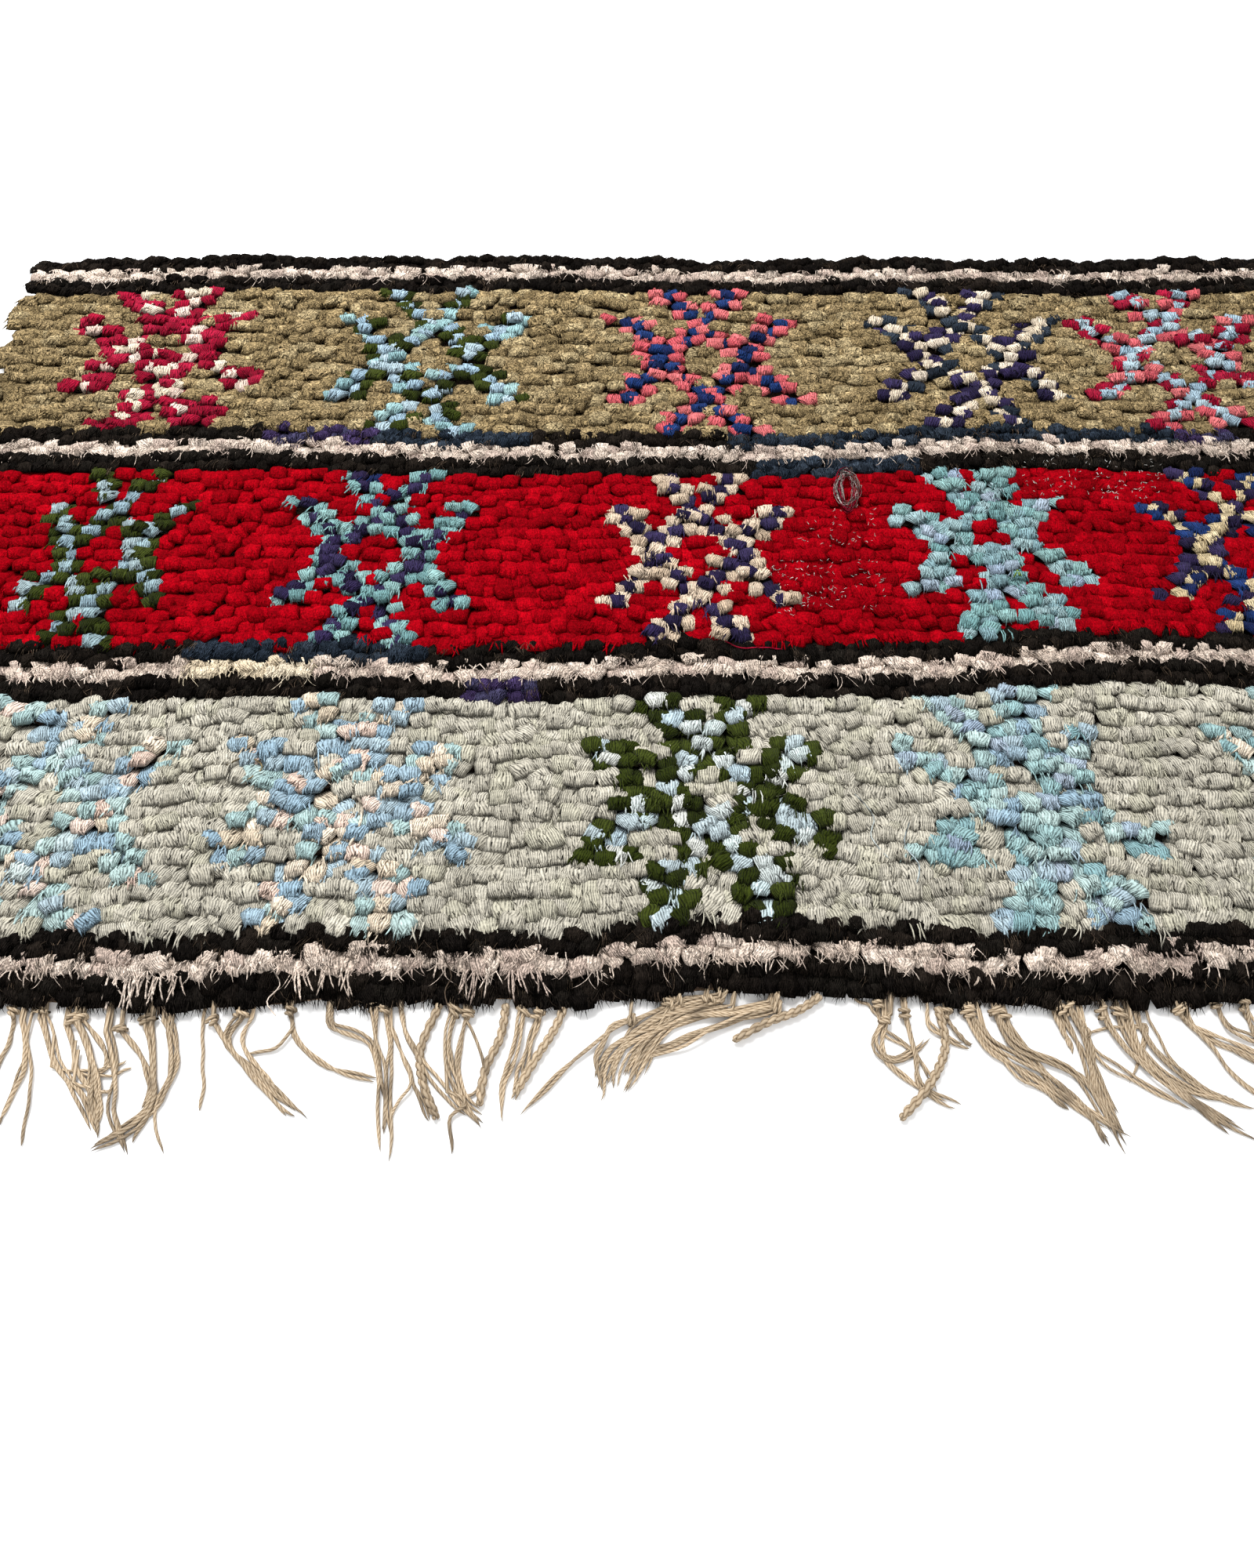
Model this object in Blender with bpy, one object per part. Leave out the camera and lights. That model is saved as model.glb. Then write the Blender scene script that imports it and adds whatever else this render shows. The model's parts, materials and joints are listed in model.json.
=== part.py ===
# Knotted pile rug with a fringe at its front end, lying flat on the floor.
# Metres, +Z up. +Y runs from the fringed edge to the far edge, +X along the fringe to the right.
# The origin is the middle of the whole length and width, on the floor.
import math

import bmesh
import bpy

# Knots and rows: every size along and across the rug follows from these.
KNOT_PITCH = 0.0102
KNOTS_ACROSS = 118
BAND_ROWS = 15
BAND_ROW_PITCH = 0.01167
BANDS = 3
STRIPE_ROWS = 6
STRIPE_ROW_PITCH = 0.0078

# Thickness: foundation cloth, pile that leans forward over it, and the thinner rim.
GROUND_THICKNESS = 0.003
PILE_TOP = 0.0155
STRIPE_DIP = 0.001
SWELL = 0.0007
RIM_TOP = 0.0065
RIM_WIDTH = 0.030

# Ends and fringe.
WOVEN_END = 0.008
FRINGE_REACH = 0.085
HEADER_DEPTH = 0.007
HEADER_THICKNESS = 0.003
PIECE_GAP = 0.0003

# Grid of the cloth solid.
CELLS_ACROSS = 36
CELLS_ALONG = 26

# Worked out from the sizes above.
BAND_LENGTH = BAND_ROWS * BAND_ROW_PITCH
STRIPE_LENGTH = STRIPE_ROWS * STRIPE_ROW_PITCH
REPEAT = BAND_LENGTH + STRIPE_LENGTH
PILE_LENGTH = BANDS * REPEAT + STRIPE_LENGTH
HALF_WIDTH = KNOTS_ACROSS * KNOT_PITCH / 2
FRONT_Y = FRINGE_REACH - (FRINGE_REACH + PILE_LENGTH + WOVEN_END) / 2

# Where the rows wander from straight: centre across and along, reach across and along, lift.
# Along is measured back from the front line, and a lift moves the rows away from the front.
WANDERS = [
    {"x": 0.34, "along": 0.245, "reach": 0.15, "span": 0.11, "lift": 0.013},
    {"x": -0.02, "along": 0.480, "reach": 0.20, "span": 0.10, "lift": -0.008},
    {"x": -0.30, "along": 0.050, "reach": 0.12, "span": 0.08, "lift": -0.004},
    {"x": 0.02, "along": 0.050, "reach": 0.08, "span": 0.06, "lift": 0.006},
    {"x": -0.25, "along": 0.690, "reach": 0.20, "span": 0.10, "lift": 0.005},
]
ROW_WAVE = {"height": 0.0022, "length": 0.31, "turn": 5.0}
SIDE_WAVE = {"height": 0.0045, "length": 0.52, "turn": 1.1}

# Fringe bundles in view, in millimetres: how many strings, and four points of the route, each as
# its place across the rug and how far it lies out from the front line of the pile.
BUNDLES = [
    {"strings": 2, "route": [(-422, 0), (-420, 11), (-422, 25), (-425, 46)]},
    {"strings": 3, "route": [(-416, 1), (-409, 23), (-409, 41), (-412, 63)]},
    {"strings": 1, "route": [(-411, 11), (-399, 35), (-397, 58), (-395, 76)]},
    {"strings": 3, "route": [(-406, 0), (-388, 28), (-371, 46), (-352, 70)]},
    {"strings": 2, "route": [(-390, 2), (-376, 30), (-360, 48), (-354, 65)]},
    {"strings": 5, "route": [(-384, 1), (-365, 30), (-360, 50), (-353, 69)]},
    {"strings": 3, "route": [(-363, 5), (-351, 35), (-348, 55), (-332, 82)]},
    {"strings": 5, "route": [(-339, 2), (-327, 35), (-328, 58), (-353, 75)]},
    {"strings": 4, "route": [(-329, 1), (-317, 25), (-321, 49), (-342, 70)]},
    {"strings": 1, "route": [(-326, 7), (-319, 35), (-322, 57), (-313, 81)]},
    {"strings": 1, "route": [(-306, 2), (-300, 21), (-297, 41), (-296, 58)]},
    {"strings": 3, "route": [(-300, 2), (-283, 24), (-259, 47), (-240, 63)]},
    {"strings": 4, "route": [(-280, 2), (-287, 18), (-262, 41), (-235, 62)]},
    {"strings": 2, "route": [(-252, 0), (-245, 17), (-223, 35), (-195, 42)]},
    {"strings": 3, "route": [(-227, 0), (-224, 11), (-199, 21), (-189, 52)]},
    {"strings": 4, "route": [(-200, 0), (-195, 23), (-188, 50), (-184, 83)]},
    {"strings": 2, "route": [(-191, 7), (-178, 32), (-170, 47), (-160, 65)]},
    {"strings": 4, "route": [(-160, 0), (-169, 23), (-166, 43), (-156, 63)]},
    {"strings": 3, "route": [(-184, 0), (-176, 21), (-152, 48), (-130, 66)]},
    {"strings": 5, "route": [(-150, 0), (-153, 23), (-145, 46), (-130, 65)]},
    {"strings": 4, "route": [(-119, 0), (-121, 15), (-129, 35), (-131, 55)]},
    {"strings": 5, "route": [(-108, 0), (-111, 21), (-118, 41), (-117, 65)]},
    {"strings": 4, "route": [(-81, 0), (-88, 12), (-99, 28), (-110, 48)]},
    {"strings": 2, "route": [(-16, 4), (-52, 12), (-85, 37), (-109, 64)]},
    {"strings": 5, "route": [(52, 3), (-2, 9), (-49, 25), (-59, 50)]},
    {"strings": 5, "route": [(21, 3), (-18, 12), (-40, 26), (-48, 47)]},
    {"strings": 5, "route": [(75, 2), (61, 7), (42, 13), (21, 23)]},
    {"strings": 1, "route": [(97, 3), (104, 5), (110, 7), (117, 10)]},
    {"strings": 3, "route": [(121, 2), (106, 23), (118, 33), (140, 21)]},
    {"strings": 5, "route": [(127, 2), (130, 28), (132, 47), (154, 59)]},
    {"strings": 5, "route": [(148, 1), (149, 23), (137, 45), (117, 66)]},
    {"strings": 2, "route": [(153, 2), (155, 10), (160, 17), (166, 21)]},
    {"strings": 4, "route": [(166, 2), (176, 25), (207, 44), (245, 70)]},
    {"strings": 5, "route": [(183, 0), (191, 21), (227, 39), (245, 77)]},
    {"strings": 2, "route": [(187, 2), (209, 40), (226, 55), (235, 75)]},
    {"strings": 3, "route": [(218, 0), (221, 6), (223, 15), (226, 24)]},
    {"strings": 4, "route": [(228, 0), (234, 15), (236, 40), (245, 63)]},
    {"strings": 5, "route": [(249, 0), (259, 25), (286, 50), (322, 75)]},
    {"strings": 5, "route": [(269, 0), (276, 25), (300, 48), (332, 58)]},
    {"strings": 5, "route": [(296, 0), (305, 14), (330, 27), (358, 41)]},
    {"strings": 2, "route": [(299, 2), (312, 23), (322, 44), (340, 55)]},
    {"strings": 3, "route": [(320, 0), (324, 12), (341, 22), (366, 31)]},
    {"strings": 3, "route": [(338, 0), (340, 12), (342, 30), (343, 53)]},
]
# Outside that stretch the bundles follow one rule, to within this much of each side edge.
VIEW_LEFT = -0.440
VIEW_RIGHT = 0.362
BUNDLE_PITCH = 0.0235
SIDE_MARGIN = 0.012

# A bundle's solid: half width for its first string and for each further one, and its flatness.
TINE_BASE = 0.0016
TINE_PER_STRING = 0.0007
TINE_FLATNESS = 0.5
TINE_LIFT = 0.00015
TINE_POINTS = 6
ROOT_SHARE = 0.6
TIP_SHARE = 0.35


def smooth_step(value):
    value = min(max(value, 0.0), 1.0)
    return value * value * (3 - 2 * value)


def wander(x, along):
    """How far a row's point lies from straight, towards the far end."""
    wave = ROW_WAVE["height"] * math.sin(math.tau * x / ROW_WAVE["length"] + ROW_WAVE["turn"] * along)
    for bump in WANDERS:
        across = (x - bump["x"]) / bump["reach"]
        down = (along - bump["along"]) / bump["span"]
        wave += bump["lift"] * math.exp(-across * across - down * down)
    return wave


def side_shift(along):
    return SIDE_WAVE["height"] * math.sin(math.tau * along / SIDE_WAVE["length"] + SIDE_WAVE["turn"])


def plan_point(x, along):
    """Place on the floor of a point given across the rug and back from the front line."""
    return x + side_shift(along), FRONT_Y + along + wander(x, along)


def pile_height(x, along):
    """Top of the pile: lower on the stripes, gently uneven, and falling to the rim."""
    if along > PILE_LENGTH + WOVEN_END / 2:
        return GROUND_THICKNESS
    in_repeat = along % REPEAT
    on_stripe = in_repeat < STRIPE_LENGTH
    height = PILE_TOP - (STRIPE_DIP if on_stripe else 0.0)
    height += SWELL * math.sin(11 * x + 7 * along) * math.sin(9 * along - 4 * x)
    to_edge = min(HALF_WIDTH - abs(x), along, PILE_LENGTH - along)
    return RIM_TOP + (height - RIM_TOP) * smooth_step(to_edge / RIM_WIDTH)


def material(name, colour, roughness):
    made = bpy.data.materials.new(name)
    made.use_nodes = True
    shader = made.node_tree.nodes["Principled BSDF"]
    shader.inputs["Base Color"].default_value = (*colour, 1.0)
    shader.inputs["Roughness"].default_value = roughness
    shader.inputs["Metallic"].default_value = 0.0
    return made


def station(index, cells, length):
    """Even stations, with the first and last cell only as deep as the rim."""
    if index == 0:
        return 0.0
    if index == cells:
        return length
    inner = (length - 2 * RIM_WIDTH / 2) / (cells - 2)
    return RIM_WIDTH / 2 + inner * (index - 1)


def make_cloth(collection):
    """Foundation cloth and pile as one solid: a grid drawn up from the floor and shaped on top."""
    length = PILE_LENGTH + WOVEN_END
    mesh = bpy.data.meshes.new("pile_cloth")
    shape = bmesh.new()
    bmesh.ops.create_grid(shape, x_segments=CELLS_ACROSS, y_segments=CELLS_ALONG, size=1.0)
    base = list(shape.faces)
    lifted = bmesh.ops.extrude_face_region(shape, geom=base)
    tops = {item for item in lifted["geom"] if isinstance(item, bmesh.types.BMVert)}
    for vert in shape.verts:
        column = round((vert.co.x + 1) / 2 * CELLS_ACROSS)
        row = round((vert.co.y + 1) / 2 * CELLS_ALONG)
        x = station(column, CELLS_ACROSS, 2 * HALF_WIDTH) - HALF_WIDTH
        along = station(row, CELLS_ALONG, length)
        height = pile_height(x, along) if vert in tops else 0.0
        vert.co = (*plan_point(x, along), height)
    under = [face for face in shape.faces if all(vert not in tops for vert in face.verts)]
    bmesh.ops.dissolve_faces(shape, faces=under, use_verts=True)
    bmesh.ops.recalc_face_normals(shape, faces=shape.faces)
    shape.to_mesh(mesh)
    shape.free()
    mesh.materials.append(material("pile wool", (0.40, 0.36, 0.31), 0.95))
    cloth = bpy.data.objects.new("pile_cloth", mesh)
    collection.objects.link(cloth)
    return cloth


def curve_point(route, share):
    """Point on the smooth curve through a route, by the share of its spans."""
    spans = len(route) - 1
    span = min(int(share * spans), spans - 1)
    t = share * spans - span
    before = route[max(span - 1, 0)]
    start = route[span]
    end = route[span + 1]
    after = route[min(span + 2, spans)]
    point = []
    for a, b, c, d in zip(before, start, end, after):
        bend = (2 * a - 5 * b + 4 * c - d) * t * t + (3 * b - a - 3 * c + d) * t * t * t
        point.append(0.5 * (2 * b + (c - a) * t + bend))
    return point


def rule_bundles():
    """Bundles of the stretches that follow one rule, left and right of the charted ones."""
    found = []
    for low, high in ((SIDE_MARGIN - HALF_WIDTH, VIEW_LEFT), (VIEW_RIGHT, HALF_WIDTH - SIDE_MARGIN)):
        count = int((high - low) / BUNDLE_PITCH)
        for index in range(count):
            x = 1000 * (low + (index + 0.5) * (high - low) / count)
            lean = 14 * math.sin(2.3 * index + low * 9)
            reach = 68 + 9 * math.sin(1.7 * index + 1)
            route = [(x, 1), (x + 0.15 * lean, 24), (x + 0.6 * lean, 46), (x + lean, reach)]
            limit = 1000 * (HALF_WIDTH - SIDE_MARGIN / 2)
            route = [(max(-limit, min(limit, across)), out) for across, out in route]
            found.append({"strings": 3 + index % 3, "route": route})
    return found


def front_point(across, out):
    """Place on the floor of a fringe point given in millimetres across and out."""
    x, y = plan_point(across / 1000, 0.0)
    return x, y - out / 1000


def make_header(collection):
    """The knotted edge that carries the fringe: a flat strip along the front of the pile."""
    curve = bpy.data.curves.new("header", "CURVE")
    curve.dimensions = "2D"
    curve.fill_mode = "BOTH"
    curve.extrude = HEADER_THICKNESS / 2
    stations = [
        station(column, CELLS_ACROSS, 2 * HALF_WIDTH) - HALF_WIDTH for column in range(CELLS_ACROSS + 1)
    ]
    back = [front_point(1000 * x, 1000 * PIECE_GAP) for x in stations]
    front = [front_point(1000 * x, 1000 * (PIECE_GAP + HEADER_DEPTH)) for x in reversed(stations)]
    outline = curve.splines.new("POLY")
    outline.points.add(len(back) + len(front) - 1)
    for point, (x, y) in zip(outline.points, back + front):
        point.co = (x, y, 0.0, 1.0)
    outline.use_cyclic_u = True
    drawn = bpy.data.objects.new("header_outline", curve)
    drawn.location.z = HEADER_THICKNESS / 2
    collection.objects.link(drawn)
    return drawn


def make_tine(collection, index, bundle):
    """One bundle of strings as a flattened tube that tapers to its tip on the floor."""
    inside = 1000 * (PIECE_GAP + HEADER_DEPTH / 2)
    half_width = TINE_BASE + TINE_PER_STRING * bundle["strings"]
    curve = bpy.data.curves.new(f"tine_{index}", "CURVE")
    curve.dimensions = "3D"
    curve.bevel_depth = half_width
    curve.bevel_resolution = 1
    curve.use_fill_caps = True
    line = curve.splines.new("POLY")
    line.points.add(TINE_POINTS - 1)
    for number, point in enumerate(line.points):
        share = number / (TINE_POINTS - 1)
        across, out = curve_point(bundle["route"], share)
        clear = inside if number == 0 else inside + 1000 * half_width
        x, y = front_point(across, max(out, clear))
        point.co = (x, y, 0.0, 1.0)
        point.radius = {0: ROOT_SHARE, TINE_POINTS - 1: TIP_SHARE}.get(number, 1.0)
    tine = bpy.data.objects.new(f"tine_{index}", curve)
    tine.scale.z = TINE_FLATNESS
    tine.location.z = TINE_LIFT + TINE_FLATNESS * half_width
    collection.objects.link(tine)
    return tine


def as_mesh(source, name, collection):
    """The evaluated shape of a curve as a mesh object in place, its caps welded."""
    bpy.context.view_layer.update()
    evaluated = source.evaluated_get(bpy.context.evaluated_depsgraph_get())
    mesh = bpy.data.meshes.new_from_object(evaluated)
    mesh.transform(source.matrix_world)
    shape = bmesh.new()
    shape.from_mesh(mesh)
    bmesh.ops.remove_doubles(shape, verts=shape.verts, dist=0.00001)
    bmesh.ops.recalc_face_normals(shape, faces=shape.faces)
    shape.to_mesh(mesh)
    shape.free()
    mesh.name = name
    made = bpy.data.objects.new(name, mesh)
    collection.objects.link(made)
    bpy.data.objects.remove(source)
    return made


def unite(target, other, name):
    """Joins another closed body to the target for good."""
    joint = target.modifiers.new(name, "BOOLEAN")
    joint.operation = "UNION"
    joint.solver = "MANIFOLD"
    joint.object = other
    bpy.context.view_layer.update()
    evaluated = target.evaluated_get(bpy.context.evaluated_depsgraph_get())
    mesh = bpy.data.meshes.new_from_object(evaluated)
    target.modifiers.remove(joint)
    target.data = mesh
    bpy.data.objects.remove(other)


def make_fringe(collection, helpers):
    """The fringe as one comb: the knotted edge with every bundle of strings joined to it."""
    comb = as_mesh(make_header(helpers), "warp_fringe", collection)
    for index, bundle in enumerate(BUNDLES + rule_bundles()):
        tine = as_mesh(make_tine(helpers, index, bundle), f"tine_{index}", helpers)
        unite(comb, tine, f"tine_{index}")
    comb.data.materials.clear()
    comb.data.materials.append(material("warp cotton", (0.62, 0.48, 0.31), 0.9))
    return comb


def main():
    for old in list(bpy.data.objects):
        bpy.data.objects.remove(old)
    rug = bpy.data.collections.new("pile_rug")
    helpers = bpy.data.collections.new("helpers")
    bpy.context.scene.collection.children.link(rug)
    bpy.context.scene.collection.children.link(helpers)
    make_cloth(rug)
    make_fringe(rug, helpers)


main()
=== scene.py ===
# Boucherouite rug: knotted pile in bands of stars on a cotton ground, with a loose fringe in front
import json
import math
import random

import bmesh
import bpy
import numpy as np
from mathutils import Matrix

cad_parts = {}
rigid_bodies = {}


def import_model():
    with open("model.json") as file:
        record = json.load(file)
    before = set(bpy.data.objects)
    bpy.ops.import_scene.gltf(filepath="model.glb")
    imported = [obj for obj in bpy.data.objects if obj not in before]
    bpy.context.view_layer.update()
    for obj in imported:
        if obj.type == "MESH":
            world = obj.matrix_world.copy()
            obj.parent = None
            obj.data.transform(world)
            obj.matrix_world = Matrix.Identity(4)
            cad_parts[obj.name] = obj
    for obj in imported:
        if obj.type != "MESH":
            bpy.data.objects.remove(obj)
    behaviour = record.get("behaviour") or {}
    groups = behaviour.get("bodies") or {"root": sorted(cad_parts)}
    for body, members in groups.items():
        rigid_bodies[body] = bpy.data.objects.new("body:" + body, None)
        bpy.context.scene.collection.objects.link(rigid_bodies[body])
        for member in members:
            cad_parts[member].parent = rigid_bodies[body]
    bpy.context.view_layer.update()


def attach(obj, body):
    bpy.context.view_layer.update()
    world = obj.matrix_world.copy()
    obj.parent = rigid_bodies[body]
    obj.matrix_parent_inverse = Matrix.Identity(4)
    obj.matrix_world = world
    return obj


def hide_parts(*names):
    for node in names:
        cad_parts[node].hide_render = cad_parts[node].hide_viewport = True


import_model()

# the rug's own sizes, as in its solids, in metres
rug = {
    "knotPitch": 0.0102,
    "knotsAcross": 118,
    "bandRows": 15,
    "bandRowPitch": 0.01167,
    "bands": 3,
    "stripeRows": 6,
    "stripeRowPitch": 0.0078,
    "wovenEnd": 0.008,
    "fringeReach": 0.085,
    "groundTop": 0.0028,
    "tipReach": 0.0135,  # how far a knot's yarn leans forward of its root
    "strayAlong": 0.0010,  # how far a knot may stray from its row
    "strayAcross": 0.0009,  # and from its place in it
}
stripeLength = rug["stripeRows"] * rug["stripeRowPitch"]
bandLength = rug["bandRows"] * rug["bandRowPitch"]
repeatLength = stripeLength + bandLength
pileLength = rug["bands"] * repeatLength + stripeLength
halfWidth = rug["knotsAcross"] * rug["knotPitch"] / 2
frontY = rug["fringeReach"] - (rug["fringeReach"] + pileLength + rug["wovenEnd"]) / 2

# where the rows wander from straight: lift moves them away from the front
wanders = [
    {"x": 0.34, "along": 0.245, "reach": 0.15, "span": 0.11, "lift": 0.013},
    {"x": -0.02, "along": 0.480, "reach": 0.20, "span": 0.10, "lift": -0.008},
    {"x": -0.30, "along": 0.050, "reach": 0.12, "span": 0.08, "lift": -0.004},
    {"x": 0.02, "along": 0.050, "reach": 0.08, "span": 0.06, "lift": 0.006},
    {"x": -0.25, "along": 0.690, "reach": 0.20, "span": 0.10, "lift": 0.005},
]
rowWave = {"height": 0.0022, "length": 0.31, "turn": 5.0}
sideWave = {"height": 0.0045, "length": 0.52, "turn": 1.1}


def planPoint(x, along):
    wave = rowWave["height"] * math.sin(math.tau * x / rowWave["length"] + rowWave["turn"] * along)
    for bump in wanders:
        across = (x - bump["x"]) / bump["reach"]
        down = (along - bump["along"]) / bump["span"]
        wave += bump["lift"] * math.exp(-across * across - down * down)
    shift = sideWave["height"] * math.sin(math.tau * along / sideWave["length"] + sideWave["turn"])
    return x + shift, frontY + along + wave


def linear(red, green, blue):
    # 0 to 255 as seen, to the linear values that shaders take
    seen = np.array([red, green, blue]) / 255
    lin = np.where(seen <= 0.04045, seen / 12.92, ((seen + 0.055) / 1.055) ** 2.4)
    return tuple(float(v) for v in lin)


def newMaterial(name):
    material = bpy.data.materials.new(name)
    material.use_nodes = True
    return material, material.node_tree.nodes["Principled BSDF"]


def feed(target, values):
    # sets a node's inputs: a socket is linked, anything else is its value
    for key, value in values.items():
        if isinstance(value, bpy.types.NodeSocket):
            target.id_data.links.new(value, target.inputs[key])
        else:
            target.inputs[key].default_value = value


def nodeTools(tree):
    # short ways to add to a node tree: any node, a sum, a value spread to a new range, and noise
    def node(kind, values=None, **settings):
        made = tree.nodes.new(kind)
        for key, value in settings.items():
            setattr(made, key, value)
        feed(made, values or {})
        return made

    def sum2(operation, *values):
        return node("ShaderNodeMath", dict(enumerate(values)), operation=operation).outputs[0]

    def spread(value, low, high, fromLow=0.0, fromHigh=1.0):
        ends = {"From Min": fromLow, "From Max": fromHigh, "To Min": low, "To Max": high}
        return node("ShaderNodeMapRange", {"Value": value, **ends}).outputs["Result"]

    def noise(scale, detail, **place):
        return node("ShaderNodeTexNoise", {"Scale": scale, "Detail": detail, **place}).outputs[0]

    return node, sum2, spread, noise


def asObject(shape, name):
    # the finished shape as a mesh object, with its faces pointing outwards
    bmesh.ops.recalc_face_normals(shape, faces=shape.faces)
    mesh = bpy.data.meshes.new(name)
    shape.to_mesh(mesh)
    shape.free()
    return bpy.data.objects.new(name, mesh)


def addPiece(piece, slot, material=None):
    bpy.context.scene.collection.objects.link(piece)
    if material:
        piece.data.materials.append(material)
    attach(piece, "root")


def triangles(piece):
    return sum(len(face.vertices) - 2 for face in piece.data.polygons)


def unit(vector):
    vector = np.array(vector)
    return vector / max(np.linalg.norm(vector), 1e-9)


def strandRing(point, radius, turn):
    # three points round a strand that runs forward
    return [(
        point[0] + radius * math.cos(turn + math.tau * corner / 3),
        point[1],
        point[2] + radius * math.sin(turn + math.tau * corner / 3),
    ) for corner in range(3)]


# camera as the photograph was taken: above the fringe, looking steeply down along the pile
shot = {"height": 0.5655, "behindFront": 0.1255, "across": -0.04, "pitch": 63.5, "lens": 20.8}


def makeCamera():
    data = bpy.data.cameras.new("photoCamera")
    data.lens = shot["lens"]
    data.sensor_width = 36
    data.sensor_fit = "AUTO"
    data.clip_start = 0.01
    camera = bpy.data.objects.new("photoCamera", data)
    camera.location = (shot["across"], frontY - shot["behindFront"], shot["height"])
    camera.rotation_euler = (math.radians(90 - shot["pitch"]), 0, 0)
    bpy.context.scene.collection.objects.link(camera)
    bpy.context.scene.camera = camera


studio = {
    "floor": (0.86, 0.86, 0.86),
    "sky": 0.85,
    "lamps": [
        {"name": "key", "place": (-0.6, 0.9, 1.7), "size": 0.8, "power": 62},
        {"name": "frontFill", "place": (0.9, -1.6, 1.6), "size": 1.8, "power": 14},
    ],
}


def makeStudio():
    bpy.ops.mesh.primitive_plane_add(size=12)
    floor = bpy.context.active_object
    floor.name = "floor"
    paint, shader = newMaterial("floorPaint")
    feed(shader, {"Base Color": (*studio["floor"], 1), "Roughness": 0.9})
    floor.data.materials.append(paint)
    world = bpy.data.worlds.new("studioSky")
    world.use_nodes = True
    feed(world.node_tree.nodes["Background"], {"Color": (1, 1, 1, 1), "Strength": studio["sky"]})
    bpy.context.scene.world = world
    for lamp in studio["lamps"]:
        light = bpy.data.lights.new(lamp["name"], "AREA")
        light.shape = "DISK"
        light.size = lamp["size"]
        light.energy = lamp["power"]
        holder = bpy.data.objects.new(lamp["name"], light)
        holder.location = lamp["place"]
        aim = -holder.location
        holder.rotation_euler = aim.to_track_quat("-Z", "Y").to_euler()
        bpy.context.scene.collection.objects.link(holder)
    bpy.context.scene.view_settings.view_transform = "Standard"


# yarn colours as seen, several dyes or fades for each
yarns = {
    "sage": [(174, 169, 155), (169, 164, 150), (179, 174, 160), (171, 167, 150)],
    "red": [(132, 1, 12), (124, 1, 11), (140, 2, 14), (115, 1, 9)],
    "olive": [(147, 128, 94), (137, 119, 86), (157, 140, 106), (126, 109, 78)],
    "black": [(25, 22, 19), (19, 16, 14), (32, 27, 23), (23, 19, 16)],
    "hair": [(62, 52, 43), (50, 42, 34), (78, 66, 55)],
    "cream": [(198, 181, 167), (188, 172, 158), (208, 192, 178), (180, 162, 150)],
    "ecru": [(203, 188, 162), (194, 178, 152), (210, 196, 172)],
    "butter": [(196, 178, 143), (186, 168, 132), (202, 185, 150)],
    "slate": [(38, 46, 56), (30, 37, 46), (46, 54, 64)],
    "purple": [(62, 50, 84), (52, 41, 71), (58, 55, 80)],
    "sky": [(143, 165, 178), (133, 157, 172), (154, 173, 182)],
    "turquoise": [(134, 166, 168), (124, 157, 161), (144, 174, 174)],
    "paleTurquoise": [(154, 178, 176), (146, 170, 169), (164, 185, 182)],
    "lilac": [(146, 162, 176), (138, 154, 172), (154, 168, 182)],
    "green": [(44, 52, 15), (36, 43, 12), (52, 60, 21)],
    "navy": [(40, 32, 62), (32, 26, 51), (50, 42, 74)],
    "royal": [(24, 45, 90), (31, 53, 102), (22, 34, 73)],
    "ice": [(172, 188, 190), (160, 178, 186), (184, 196, 194)],
    "mist": [(134, 156, 162), (122, 144, 154), (146, 164, 168)],
    "aqua": [(114, 150, 150), (102, 139, 140), (126, 160, 158)],
    "paleAqua": [(128, 156, 160), (118, 147, 153), (138, 163, 166)],
    "bone": [(188, 168, 146), (178, 158, 136), (196, 177, 156)],
    "frost": [(180, 188, 186), (166, 180, 184), (188, 190, 184)],
    "pink": [(208, 186, 172), (200, 177, 163), (214, 194, 181)],
    "straw": [(204, 189, 168), (196, 181, 159), (211, 197, 178)],
    "crimson": [(140, 14, 42), (124, 10, 36), (152, 24, 52)],
    "coral": [(188, 86, 92), (178, 76, 84), (196, 102, 104)],
    "lime": [(120, 142, 48)],
    "white": [(236, 234, 228), (214, 208, 200)],
    "down": [(150, 140, 134), (112, 98, 92), (196, 188, 182)],
}

# the eight-pointed star, charted: o outline, c core
starChart = [
    "....oco...oco....",
    ".....oco.oco.....",
    "......oc.co......",
    "oco....oco....oco",
    ".oco..ococo..oco.",
    "..ocooco.ocooco..",
    "...occo...occo...",
    "...oco.....oco...",
    "...occo...occo...",
    "..ocooco.ocooco..",
    ".oco..ococo..oco.",
    "oco....oco....oco",
    "......oc.co......",
    ".....oco.oco.....",
    "....oco...oco....",
]
# one that its maker filled in, with broken edges
filledChart = [
    "...ooc..occo.....",
    "....oco.oco......",
    ".....ococoo......",
    "oo....ococo.oco..",
    "ocoo..occocooo...",
    "..ococo..ococ....",
    "...occo...oco....",
    "....ocococcoo....",
    "..oco.ococo.oc...",
    "..oco..occo..ocoo",
    "oococ..ococ...oco",
    "......ococco.....",
    "......oco.ocoo...",
    ".....ocoo.ococo..",
    "....ocoo...oco...",
]
# one with close arms round a small middle
closeChart = [
    "....oco...oco....",
    ".....oco.oco.....",
    "......ococo......",
    "ocoo..oocoo..oco.",
    ".ocooo.coco.occo.",
    "..oo.oco.ocooco..",
    "...ooco...ocoo...",
    "..ocooco.ocooco..",
    ".ococococoo.occo.",
    "occ...occo...ocoo",
    "ooco..ococo.....o",
    "....occo.occo....",
    "...oco....occo...",
    "....oco...oco....",
    "...oco....oco....",
]
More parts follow.
